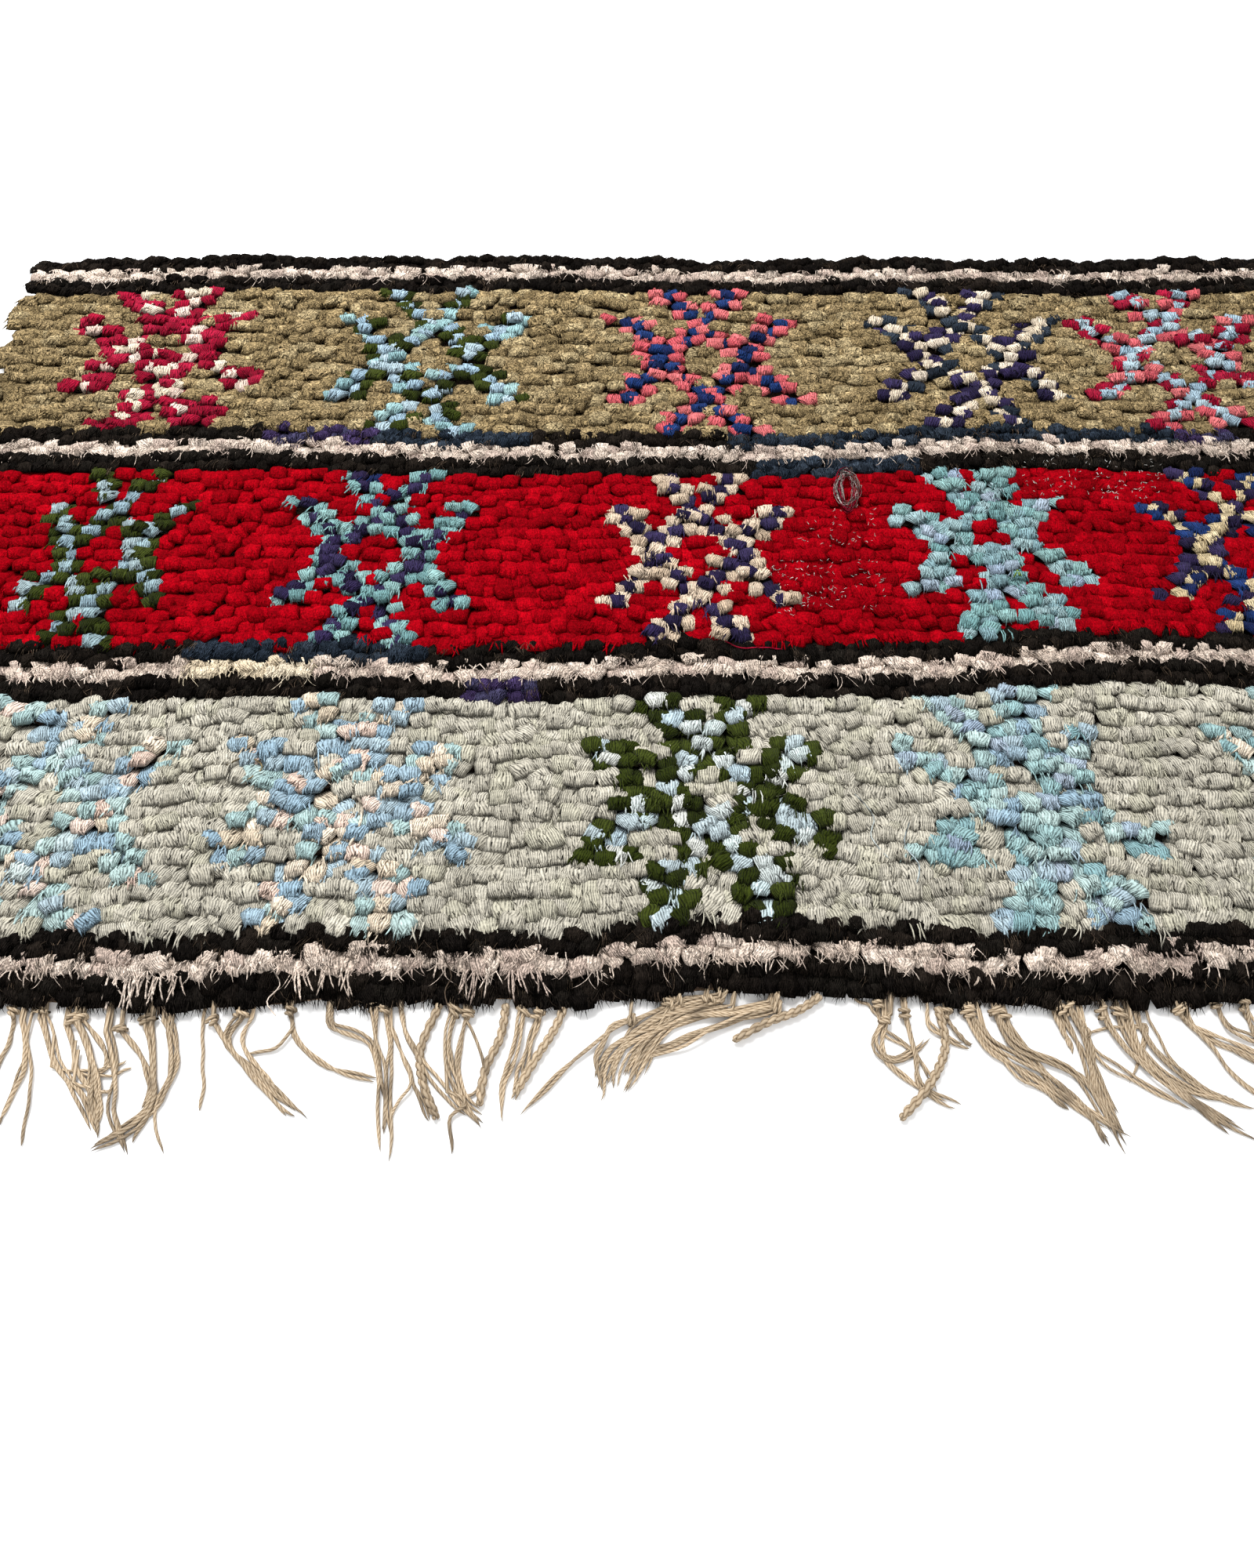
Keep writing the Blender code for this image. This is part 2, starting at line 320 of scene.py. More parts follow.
# each band: its ground yarn and its stars from left to right, placed by their middle across
bands = [
    {"ground": "sage", "stars": [
        {"x": -0.429, "outline": ["paleTurquoise", "paleTurquoise", "sky"],
         "core": ["ice", "pink", "sky", "straw"]},
        {"x": -0.229, "chart": closeChart, "outline": ["sky", "sky", "sky", "paleTurquoise"],
         "core": ["pink", "straw", "straw"]},
        {"x": 0.015, "chart": closeChart, "outline": ["green"], "core": ["frost", "frost", "ice"]},
        {"x": 0.234, "chart": filledChart, "outline": ["turquoise", "paleTurquoise", "sky"],
         "core": ["paleTurquoise", "lilac", "sky", "turquoise"]},
        {"x": 0.455, "outline": ["turquoise", "paleTurquoise"], "core": ["straw"]},
    ]},
    {"ground": "red", "pitch": 0.0089, "stars": [
        {"x": -0.446, "width": 0.8, "outline": ["green"], "core": ["mist"]},
        {"x": -0.230, "outline": ["aqua"], "core": ["navy"]},
        {"x": 0.018, "outline": ["bone"], "core": ["navy"]},
        {"x": 0.249, "chart": filledChart, "outline": ["aqua", "paleAqua"],
         "core": ["paleAqua", "aqua", "paleAqua", "lilac"]},
        {"x": 0.449, "outline": ["royal", "navy"], "core": ["butter"]},
    ]},
    {"ground": "olive", "stars": [
        {"x": -0.455, "chart": filledChart, "outline": ["crimson"], "core": ["crimson", "pink", "straw"]},
        {"x": -0.222, "outline": ["green", "green", "turquoise"], "core": ["sky"]},
        {"x": 0.028, "outline": ["coral"], "core": ["royal"]},
        {"x": 0.257, "outline": ["slate", "navy"], "core": ["straw"]},
        {"x": 0.446, "outline": ["crimson", "coral"], "core": ["sky"]},
    ]},
]
# stretches where the dark or pale stripes take another yarn: stripe group, its rows, and from where to where
patches = [
    {"group": 1, "rows": (4, 6), "from": -0.362, "to": -0.184, "yarn": "slate"},
    {"group": 1, "rows": (0, 2), "from": -0.150, "to": -0.106, "yarn": "purple"},
    {"group": 1, "rows": (2, 4), "from": -0.360, "to": -0.268, "yarn": "ecru"},
    {"group": 2, "rows": (0, 2), "from": 0.058, "to": 0.208, "yarn": "slate"},
    {"group": 2, "rows": (4, 6), "from": -0.342, "to": -0.253, "yarn": "purple"},
    {"group": 2, "rows": (4, 6), "from": -0.253, "to": -0.126, "yarn": "slate"},
    {"group": 2, "rows": (4, 6), "from": 0.045, "to": 0.418, "yarn": "slate"},
    {"group": 2, "rows": (4, 6), "from": 0.418, "to": 0.470, "yarn": "purple"},
]
# single knots of another yarn
spots = [
    {"x": 0.268, "along": 0.322, "yarn": "lime"},
    {"x": -0.247, "along": 0.437, "yarn": "royal"},
]


def knotYarn(draw, band, line, x):
    # the yarn of one knot in a band: ground, or its place on a star's chart
    for star in band["stars"]:
        chart = star.get("chart", starChart)
        pitch = band.get("pitch", rug["knotPitch"]) * star.get("width", 1.0)
        column = round((x - star["x"]) / pitch) + len(chart[0]) // 2
        if 0 <= column < len(chart[0]) and line < len(chart):
            mark = chart[len(chart) - 1 - line][column]
            if mark == "o":
                return draw.choice(star["outline"]), True
            if mark == "c":
                return draw.choice(star["core"]), True
    return band["ground"], False


halfRow = 0.0058
edgeDroop = [1.0, 0.5, 0.15]  # how far the first rows hang down over the front edge
# the rows nearest the front are pushed together: from where to where each stretch goes
pressed = {"from": (0.0, stripeLength, repeatLength), "to": (0.0110, stripeLength + 0.0043, repeatLength)}
rowWaver = [
    {"height": 0.0015, "length": 0.125},
    {"height": 0.0012, "length": 0.061},
    {"height": 0.0008, "length": 0.027},
]


def layKnots():
    # every knot of the rug: where its root is, its yarn and which piece it belongs to
    draw = random.Random(7)
    knots = []
    rowStarts = []
    for group in range(rug["bands"] + 1):
        start = group * repeatLength
        for row in range(rug["stripeRows"]):
            rowStarts.append((start + row * rug["stripeRowPitch"], "stripe", group, row))
        if group < rug["bands"]:
            for row in range(rug["bandRows"]):
                rowStarts.append((start + stripeLength + row * rug["bandRowPitch"], "band", group, row))
    for number, (even, kind, group, row) in enumerate(rowStarts):
        tip = even if even > repeatLength else float(np.interp(even, pressed["from"], pressed["to"]))
        turns = [draw.uniform(0, math.tau) for wave in rowWaver]
        pitch = bands[group].get("pitch", rug["knotPitch"]) if kind == "band" else rug["knotPitch"]
        knotsAcross = round(2 * halfWidth / pitch)
        for column in range(knotsAcross):
            x = (column - (knotsAcross - 1) / 2) * pitch
            if kind == "band":
                yarn, isStar = knotYarn(draw, bands[group], row, x)
                piece = bands[group]["ground"] + ("Stars" if isStar else "Knots")
            else:
                yarn = "cream" if row in (2, 3) else "black"
                for patch in patches:
                    inRows = patch["rows"][0] <= row < patch["rows"][1]
                    if patch["group"] == group and inRows and patch["from"] < x < patch["to"]:
                        yarn = patch["yarn"]
                piece = "creamKnots" if row in (2, 3) else "blackKnots"
            for spot in spots:
                if abs(x - spot["x"]) < pitch / 2 and abs(tip - spot["along"]) < halfRow:
                    yarn = spot["yarn"]
            root = tip + rug["tipReach"] + draw.uniform(-rug["strayAlong"], rug["strayAlong"])
            for wave, turn in zip(rowWaver, turns):
                root += wave["height"] * math.sin(math.tau * x / wave["length"] + turn)
            knots.append({
                "x": x + draw.uniform(-rug["strayAcross"], rug["strayAcross"]),
                "along": root,
                "piece": piece,
                "row": row,
                "group": group,
                "color": linear(*draw.choice(yarns[yarn])),
                "droop": edgeDroop[number] if number < len(edgeDroop) else 0.0,
                "tuftDraw": draw.random(),
            })
    return knots


# how each yarn stands in a knot: the body is a cushion of many strands, with loose strands on it
knotKinds = {
    "plied": {"top": 5, "lines": 13, "long": 2, "short": 2, "thick": 0.00066, "width": 1.18, "rise": 1.0,
              "reach": 1.04, "stray": 1.0, "end": (0.92, 1.14), "round": (0.90, 0.42), "balls": False},
    "bold": {"top": 5, "lines": 12, "long": 2, "short": 3, "thick": 0.00070, "width": 1.16, "rise": 1.02,
             "reach": 1.06, "stray": 1.6, "end": (0.55, 1.0), "round": (0.95, 0.55), "balls": True},
    "soft": {"top": 5, "lines": 13, "long": 0, "short": 3, "thick": 0.00050, "width": 1.17, "rise": 0.98,
             "reach": 1.03, "stray": 1.5, "end": (0.95, 1.15), "round": (0.90, 0.42), "balls": False},
    "curly": {"top": 5, "lines": 9, "long": 1, "short": 3, "thick": 0.00070, "width": 1.24, "rise": 1.0,
              "reach": 1.08, "stray": 1.7, "end": (0.95, 1.12), "round": (0.90, 0.50), "balls": False},
    "fine": {"top": 3, "lines": 15, "long": 0, "short": 4, "thick": 0.00042, "width": 1.16, "rise": 1.03,
             "reach": 1.04, "stray": 1.3, "end": (0.86, 0.86), "round": (0.80, 0.65), "balls": False},
    "frizzy": {"top": 5, "lines": 11, "long": 1, "short": 2, "thick": 0.00060, "width": 1.06,
               "rise": 0.88, "reach": 0.90, "stray": 2.0, "end": (0.75, 1.0), "round": (0.80, 0.65),
               "balls": False},
}
# the cushion's rings from root to front: how far forward, how high, half its width, half its thickness
cushionRings = [
    (-0.0012, 0.0014, 0.0046, 0.0022),
    (0.0034, 0.0058, 0.0063, 0.0026),
    (0.0104, 0.0103, 0.0069, 0.0031),
    (0.0172, 0.0097, 0.0060, 0.0015),
]
cushionBottom = 2  # points under each ring


def mixed(values, share):
    # a value read along a list of rings
    place = min(max(share, 0.0), 1.0) * (len(values) - 1)
    low = min(int(place), len(values) - 2)
    part = place - low
    return values[low] + (values[low + 1] - values[low]) * part


def sweepTube(shape, layer, rings, shares, tip, uStart, uSpan):
    # a closed tube through rings of points, ending in a point if a tip is given
    layers = [[shape.verts.new(point) for point in ring] for ring in rings]
    sides = len(rings[0])
    made = [(shape.faces.new(list(reversed(layers[0]))), None)]
    for step in range(len(layers) - 1):
        for corner in range(sides):
            after = (corner + 1) % sides
            low, high = layers[step], layers[step + 1]
            face = shape.faces.new((low[corner], low[after], high[after], high[corner]))
            places = [(corner, step), (corner + 1, step), (corner + 1, step + 1), (corner, step + 1)]
            made.append((face, places))
    if tip is None:
        made.append((shape.faces.new(layers[-1]), None))
    else:
        end = shape.verts.new(tip)
        last = len(layers) - 1
        for corner in range(sides):
            face = shape.faces.new((layers[-1][corner], layers[-1][(corner + 1) % sides], end))
            made.append((face, [(corner, last), (corner + 1, last), (corner + 0.5, last + 1)]))
    for face, places in made:
        face.smooth = True
        for number, loop in enumerate(face.loops):
            if places:
                corner, step = places[number]
                share = shares[step] if step < len(shares) else 1.0
                loop[layer].uv = (uStart + uSpan * corner / sides, share)
            else:
                loop[layer].uv = (uStart, shares[0] if face is made[0][0] else 1.0)


def makeKnot(name, kind, seed):
    spec = knotKinds[kind]
    draw = random.Random(seed)
    ball = spec["balls"] and seed % 3 == 2  # some are rounder and shorter
    hook = draw.uniform(-1, 1) * 0.0032 * spec["stray"]
    reach = spec["reach"] * (0.84 if ball else draw.uniform(0.95, 1.05))
    rise = spec["rise"] * (1.1 if ball else draw.uniform(0.95, 1.05))
    forwards = [ring[0] * reach for ring in cushionRings]
    ups = [ring[1] * rise for ring in cushionRings]
    widths = [ring[2] * spec["width"] for ring in cushionRings]
    widths[-1] *= draw.uniform(*spec["end"])
    thicks = [ring[3] * (1.15 if ball else 1.0) for ring in cushionRings]

    cushionTop = spec["top"]

    def onCushion(share, across, lift):
        # a point of the cushion's upper side, pushed out by lift
        middle = (hook * share * share, -mixed(forwards, share), mixed(ups, share))
        step = 0.05
        drop = mixed(ups, share + step) - mixed(ups, share - step)
        run = mixed(forwards, share + step) - mixed(forwards, share - step)
        slope = math.atan2(drop, max(run, 0.0004))
        high = mixed(thicks, share) * max(0.0, 1 - across * across) ** 0.33 + lift
        return (
            middle[0] + across * mixed(widths, share),
            middle[1] + high * math.sin(slope),
            middle[2] + high * math.cos(slope),
        )

    shape = bmesh.new()
    layer = shape.loops.layers.uv.new("strandMap")
    rings = []
    shares = []
    for step in range(len(cushionRings)):
        share = step / (len(cushionRings) - 1)
        shares.append(share)
        behind, ahead = max(step - 1, 0), min(step + 1, len(cushionRings) - 1)
        slope = math.atan2(ups[ahead] - ups[behind], forwards[ahead] - forwards[behind])
        ring = []
        for corner in range(cushionTop + cushionBottom):
            if corner < cushionTop:
                angle = math.pi * (1 - corner / (cushionTop - 1))
            else:
                angle = -math.pi * (corner - cushionTop + 1) / (cushionBottom + 1)
            lump = 1 + draw.uniform(-0.07, 0.07) * spec["stray"]
            broad = math.copysign(abs(math.cos(angle)) ** spec["round"][0], math.cos(angle))
            tall = math.copysign(abs(math.sin(angle)) ** spec["round"][1], math.sin(angle))
            out = widths[step] * broad * lump
            high = thicks[step] * tall * lump
            ring.append((
                hook * share * share + out,
                -forwards[step] + high * math.sin(slope),
                ups[step] + high * math.cos(slope),
            ))
        rings.append(ring)
    sides = cushionTop + cushionBottom
    sweepTube(shape, layer, rings, shares, None, seed * 3.0, spec["lines"] * sides / (cushionTop - 1))
    # where the loose strands rest along the cushion
    loose = [(0.22, 0.62, 0.93)] * spec["long"] + [(0.6, 0.9)] * spec["short"]
    for number, stations in enumerate(loose):
        lane = ((number * 0.618 + draw.uniform(0, 0.25)) % 1) * 1.7 - 0.85
        drift = draw.uniform(-0.5, 0.5) * spec["stray"]
        overhang = draw.uniform(0.0008, 0.0034) * (0.7 + 0.5 * spec["stray"])
        strandRings = []
        for place, share in enumerate(stations):
            across = min(max(lane + drift * place, -0.95), 0.95)
            middlePoint = onCushion(share, across, spec["thick"] * (-1.3 if place == 0 else 0.9))
            turn = draw.uniform(0, math.tau)
            strandRings.append(strandRing(middlePoint, spec["thick"] * 1.15, turn))
        across = min(max(lane + drift * len(stations), -1.1), 1.1)
        point = onCushion(1.0, min(max(across, -0.95), 0.95), spec["thick"] * 0.5)
        tip = (
            point[0] + draw.uniform(-1, 1) * 0.0016 * spec["stray"],
            point[1] - overhang,
            point[2] - overhang * draw.uniform(0.2, 0.9),
        )
        litShares = [max(share, 0.45) for share in stations]  # no root shadow on a strand
        sweepTube(shape, layer, strandRings, litShares, tip, seed * 3.0 + number, 1.0)
    return asObject(shape, name)


# strands that have worked loose: how many at a knot, how thick, how long they hang and how much they curl
looseKinds = {
    "fingers": {"count": 3, "thick": 0.00062, "long": (0.0040, 0.0085), "curl": 0.6, "steps": 2},
    "wisps": {"count": 3, "thick": 0.00028, "long": (0.0040, 0.0130), "curl": 1.6, "steps": 4},
    "frills": {"count": 4, "thick": 0.00046, "long": (0.0015, 0.0055), "curl": 1.0, "steps": 2},
    "hairs": {"count": 4, "thick": 0.00026, "long": (0.0030, 0.0080), "curl": 0.9, "steps": 2},
    "strands": {"count": 5, "thick": 0.00056, "long": (0.0060, 0.0180), "curl": 0.45, "steps": 5},
    "edges": {"count": 9, "thick": 0.00034, "long": (0.0015, 0.0070), "curl": 0.5, "steps": 1},
}
looseStart = {"aside": 0.0048, "ahead": 0.0125, "up": 0.0118}  # where on a knot they begin


def makeLoose(name, kind, seed):
    # strands that start on top of a knot and hang forward over its tip
    draw = random.Random(seed)
    spec = looseKinds[kind]
    shape = bmesh.new()
    layer = shape.loops.layers.uv.new("strandMap")
    for number in range(spec["count"]):
        long = draw.uniform(*spec["long"])
        heading = draw.uniform(-0.6, 0.6) * spec["curl"]
        bend = draw.uniform(-1.2, 1.2) * spec["curl"]
        aside = draw.uniform(-looseStart["aside"], looseStart["aside"])
        point = [aside, -looseStart["ahead"], looseStart["up"]]
        rings = []
        shares = []
        for step in range(spec["steps"] + 1):
            share = step / (spec["steps"] + 1)
            turn = draw.uniform(0, 0.4)
            rings.append(strandRing(point, spec["thick"], turn))
            shares.append(0.7 + 0.3 * share)
            # the first stretch covers the last of the knot, the others hang
            stretch = 0.0045 if step == 0 else long / spec["steps"]
            heading += bend / (spec["steps"] + 1)
            point = [
                point[0] + stretch * math.sin(heading),
                point[1] - stretch * math.cos(heading),
                point[2] + (0.0012 if step == 0 else -stretch * draw.uniform(0.05, 0.35)),
            ]
        sweepTube(shape, layer, rings, shares, tuple(point), seed + number * 3.0, 1.0)
    return asObject(shape, name)


# what the tree is given: its label, its type and its usual value
knotSockets = {
    "roots": ("Roots", "Geometry", None),
    "tufts": ("Tufts", "Collection", None),
    "tuftCount": ("Tuft Count", "Int", 6),
    "sway": ("Sway", "Float", 0.3),
    "swayScale": ("Sway Scale", "Float", 22.0),
    "twist": ("Twist", "Float", 0.2),
    "droop": ("Droop", "Float", 0.42),
    "tilt": ("Tilt", "Float", 0.10),
    "small": ("Smallest", "Vector", (0.95, 0.94, 0.92)),
    "large": ("Largest", "Vector", (1.16, 1.16, 1.07)),
    "seed": ("Seed", "Int", 3),
    "yarn": ("Yarn", "Material", None),
}


def makeKnotTree():
    # sets a knot on every root: picks one of the tufts, sways it with its neighbours and twists it
    tree = bpy.data.node_groups.new("setKnots", "GeometryNodeTree")
    names = {}
    for key, (label, kind, usual) in knotSockets.items():
        socket = tree.interface.new_socket(label, in_out="INPUT", socket_type="NodeSocket" + kind)
        if usual is not None:
            socket.default_value = usual
        names[key] = socket.identifier
    tree.interface.new_socket("Pile", in_out="OUTPUT", socket_type="NodeSocketGeometry")
    node, sum2, _, noise = nodeTools(tree)
    given = node("NodeGroupInput").outputs

    def eitherWay(limit, seed):
        low = sum2("MULTIPLY", limit, -1)
        return node("FunctionNodeRandomValue", {2: low, 3: limit, "Seed": seed}, data_type="FLOAT").outputs[1]

    tufts = node("GeometryNodeCollectionInfo", {
        "Separate Children": True, "Reset Children": True, "Collection": given["Tufts"]})
    lastTuft = sum2("SUBTRACT", given["Tuft Count"], 1)
    pick = node("FunctionNodeRandomValue", {5: lastTuft, "Seed": given["Seed"]}, data_type="INT")
    sway = sum2("MULTIPLY", sum2("SUBTRACT", noise(given["Sway Scale"], 1), 0.5), given["Sway"])
    yaw = sum2("ADD", sway, eitherWay(given["Twist"], given["Seed"]))
    droop = node("GeometryNodeInputNamedAttribute", {"Name": "droop"}, data_type="FLOAT")
    down = sum2("MULTIPLY", droop.outputs["Attribute"], given["Droop"])
    pitch = sum2("ADD", down, eitherWay(given["Tilt"], 0))
    turn = node("ShaderNodeCombineXYZ", {"X": pitch, "Z": yaw})
    size = node("FunctionNodeRandomValue", {0: given["Smallest"], 1: given["Largest"]},
                data_type="FLOAT_VECTOR")
    place = node("GeometryNodeInstanceOnPoints", {
        "Points": given["Roots"], "Instance": tufts.outputs[0], "Pick Instance": True,
        "Instance Index": pick.outputs[2], "Rotation": turn.outputs[0], "Scale": size.outputs[0]})
    real = node("GeometryNodeRealizeInstances", {0: place.outputs[0]})
    dress = node("GeometryNodeSetMaterial", {"Geometry": real.outputs[0], "Material": given["Yarn"]})
    node("NodeGroupOutput", {0: dress.outputs[0]})
    return tree, names


# loose strands: which knots have them (rows counted from the front of a stripe or band) and how often
loosePieces = {
    "sageFingers": {"kind": "fingers", "slot": "sage_pile", "seed": 91, "of": "sageKnots", "rows": (0, 0),
                    "often": 0.6},
    "redFingers": {"kind": "fingers", "slot": "red_pile", "seed": 92, "of": "redKnots", "rows": (0, 0),
                   "often": 0.4},
    "sageWisps": {"kind": "wisps", "slot": "sage_pile", "seed": 93, "of": "sageKnots", "rows": (0, 14),
                  "often": 0.06},
    "sageStarWisps": {"kind": "fingers", "slot": "star_pile", "seed": 94, "of": "sageStars",
                      "rows": (0, 14), "often": 0.40},
    "redStarWisps": {"kind": "fingers", "slot": "star_pile", "seed": 95, "of": "redStars",
                     "rows": (0, 14), "often": 0.28},
    "creamFrills": {"kind": "frills", "slot": "cream_pile", "seed": 96, "of": "creamKnots",
                    "rows": (2, 3), "often": 0.72},
    "creamWisps": {"kind": "wisps", "slot": "cream_pile", "seed": 98, "of": "creamKnots", "rows": (2, 2),
                   "often": 0.28},
    "creamStrands": {"kind": "strands", "slot": "cream_pile", "seed": 99, "of": "creamKnots",
                     "rows": (2, 2), "often": 0.9, "group": 0,
                     "spans": [(-0.376, -0.314), (-0.256, -0.216), (-0.176, -0.144), (-0.138, -0.100)]},
    "blackHairs": {"kind": "hairs", "slot": "black_pile", "seed": 97, "of": "blackKnots", "rows": (0, 5),
                   "often": 0.27, "yarn": "hair"},
    "edgeHairs": {"kind": "edges", "slot": "black_pile", "seed": 100, "of": "blackKnots", "rows": (0, 0),
                  "often": 1.0, "group": 0},
    "stripeHairs": {"kind": "edges", "slot": "black_pile", "seed": 101, "of": "blackKnots",
                    "rows": (4, 4), "often": 0.22},
}
# the pieces of the pile: what kind of knot each is tied from, and how unruly it lies
pilePieces = {
    "sageKnots": {"kind": "plied", "slot": "sage_pile", "sway": 2.6, "twist": 0.12, "seed": 11,
                  "small": (0.95, 0.94, 0.90), "large": (1.16, 1.24, 1.07)},
    "redKnots": {"kind": "soft", "slot": "red_pile", "sway": 1.8, "twist": 0.16, "seed": 23,
                 "small": (0.86, 0.94, 0.84), "large": (1.04, 1.28, 1.04)},
    "oliveKnots": {"kind": "curly", "slot": "olive_pile", "sway": 1.2, "twist": 0.22, "seed": 31,
                   "small": (0.95, 0.92, 0.84), "large": (1.18, 1.30, 1.07)},
    "blackKnots": {"kind": "fine", "slot": "black_pile", "sway": 1.1, "twist": 0.14, "seed": 47},
    "creamKnots": {"kind": "frizzy", "slot": "cream_pile", "sway": 1.3, "twist": 0.35, "seed": 53},
    "sageStars": {"kind": "bold", "slot": "star_pile", "sway": 1.8, "twist": 0.42, "seed": 61},
    "redStars": {"kind": "bold", "slot": "star_pile", "sway": 1.6, "twist": 0.40, "seed": 73,
                 "small": (0.82, 0.92, 0.90), "large": (1.02, 1.14, 1.05)},
    "oliveStars": {"kind": "bold", "slot": "star_pile", "sway": 1.6, "twist": 0.40, "seed": 83},
}
tuftsPerKind = 10


floorGap = 0.0002  # nothing of the rug lies lower than this


def keepOffFloor(mesh):
    places = np.empty(len(mesh.vertices) * 3, np.float32)
    mesh.vertices.foreach_get("co", places)
    places[2::3] = np.maximum(places[2::3], floorGap)
    mesh.vertices.foreach_set("co", places)


def asPlainMesh(source, name):
    # the evaluated shape as a mesh object of its own, with nothing live on it
    bpy.context.view_layer.update()
    evaluated = source.evaluated_get(bpy.context.evaluated_depsgraph_get())
    mesh = bpy.data.meshes.new_from_object(evaluated)
    mesh.name = name
    bpy.data.objects.remove(source)
    keepOffFloor(mesh)
    return bpy.data.objects.new(name, mesh)


def makeTufts(kinds, maker, firstSeed):
    # the tufts that the tree picks from, in a collection for each kind
    sets = {}
    for number, kind in enumerate(kinds):
        group = bpy.data.collections.new(kind + "Tufts")
        bpy.context.scene.collection.children.link(group)
        for variant in range(tuftsPerKind):
            group.objects.link(maker(f"{kind}Tuft{variant}", kind, firstSeed + 10 * number + variant))
        sets[kind] = group
    return sets


def setKnots(name, spec, mine, tuftSets, tree, names, material):
    mesh = bpy.data.meshes.new(name + "Roots")
    places = [(*planPoint(knot["x"], knot["along"]), rug["groundTop"]) for knot in mine]
    mesh.from_pydata(places, [], [])
    colors = mesh.attributes.new("yarnColor", "FLOAT_COLOR", "POINT")
    colors.data.foreach_set("color", np.array([(*knot["color"], 1) for knot in mine], np.float32).ravel())
    for label in ("droop", "tuftDraw"):
        values = mesh.attributes.new(label, "FLOAT", "POINT")
        values.data.foreach_set("value", np.array([knot[label] for knot in mine], np.float32))
    roots = bpy.data.objects.new(name + "Roots", mesh)
    bpy.context.scene.collection.objects.link(roots)
    setter = roots.modifiers.new("setKnots", "NODES")
    setter.node_group = tree
    setter[names["tufts"]] = tuftSets[spec["kind"]]
    setter[names["tuftCount"]] = tuftsPerKind
    setter[names["seed"]] = spec["seed"]
    setter[names["yarn"]] = material
    for label in ("sway", "twist", "small", "large"):
        if label in spec:
            setter[names[label]] = spec[label]
    piece = asPlainMesh(roots, name)
    piece.data.attributes.remove(piece.data.attributes["droop"])
    addPiece(piece, spec["slot"])
    print(name, len(mine), "knots,", triangles(piece), "triangles")
    return piece


def makePile():
    knots = layKnots()
    tree, names = makeKnotTree()
    tuftSets = makeTufts(knotKinds, makeKnot, 0)
    tuftSets.update(makeTufts(looseKinds, makeLoose, 500))
    materials = {slot: makeYarnMaterial(slot) for slot in yarnFinishes}
    made = []
    for name, spec in pilePieces.items():
        mine = [knot for knot in knots if knot["piece"] == name]
        made.append(setKnots(name, spec, mine, tuftSets, tree, names, materials[spec["slot"]]))
    for name, spec in loosePieces.items():
        draw = random.Random(spec["seed"])
        low, high = spec["rows"]
        mine = [knot for knot in knots
                if knot["piece"] == spec["of"] and low <= knot["row"] <= high
                and draw.random() < spec["often"]
                and spec.get("group", knot["group"]) == knot["group"]
                and any(start < knot["x"] < end for start, end in spec.get("spans", [(-1, 1)]))]
        if "yarn" in spec:
            mine = [{**knot, "color": linear(*draw.choice(yarns[spec["yarn"]]))} for knot in mine]
        made.append(setKnots(name, spec, mine, tuftSets, tree, names, materials[spec["slot"]]))
    for group in tuftSets.values():
        for tuft in list(group.objects):
            bpy.data.objects.remove(tuft)
        bpy.data.collections.remove(group)
    return made


# finishes of the yarns: how deep the lines between strands are and how dark their painted shade is, the
# painted shade at the roots and on the cut ends, the twist, the fuzz and the mottling
yarnFinishes = {
    "sage_pile": {"root": 0.30, "ridge": 0.8, "grooveShade": 0.60, "wander": 2.4, "lean": 3.5, "twist": 0.15,
                  "fuzz": 0.6, "nap": 0.5, "napScale": 700, "mottle": (0.88, 1.10), "grain": 2.5,
                  "cutEndShade": 0.34, "sheen": 0.04},
    "star_pile": {"root": 0.30, "ridge": 0.8, "grooveShade": 0.58, "wander": 2.6, "lean": 3.5, "twist": 0.15,
                  "fuzz": 0.6, "nap": 0.6, "napScale": 700, "mottle": (0.86, 1.12), "grain": 2.5,
                  "cutEndShade": 0.42, "sheen": 0.02},
    "red_pile": {"root": 0.60, "ridge": 0.2, "grooveShade": 0.86, "wander": 4.0, "lean": 3.0, "twist": 0.1,
                 "fuzz": 0.9, "nap": 1.3, "napScale": 560, "mottle": (0.84, 1.10), "grain": 3.0,
                 "cutEndShade": 0.60, "sheen": 0.0},
    "olive_pile": {"root": 0.60, "ridge": 0.7, "grooveShade": 0.44, "wander": 11.0, "lean": 3.0, "twist": 0.4,
                   "fuzz": 1.0, "nap": 2.4, "napScale": 620, "mottle": (0.66, 1.34), "grain": 4.0,
                   "cutEndShade": 0.50, "sheen": 0.0},
    "black_pile": {"root": 0.12, "ridge": 0.6, "grooveShade": 0.40, "wander": 3.0, "lean": 2.0, "twist": 0.1,
                   "fuzz": 1.2, "nap": 1.0, "napScale": 760, "mottle": (0.25, 2.0), "grain": 3.5,
                   "cutEndShade": 0.55, "sheen": 0.0},
    "cream_pile": {"root": 0.2, "ridge": 0.6, "grooveShade": 0.60, "wander": 3.0, "lean": 2.0, "twist": 0.3,
                   "fuzz": 0.8, "nap": 1.4, "napScale": 620, "mottle": (0.80, 1.18), "grain": 3.0,
                   "cutEndShade": 0.82, "sheen": 0.02},
}


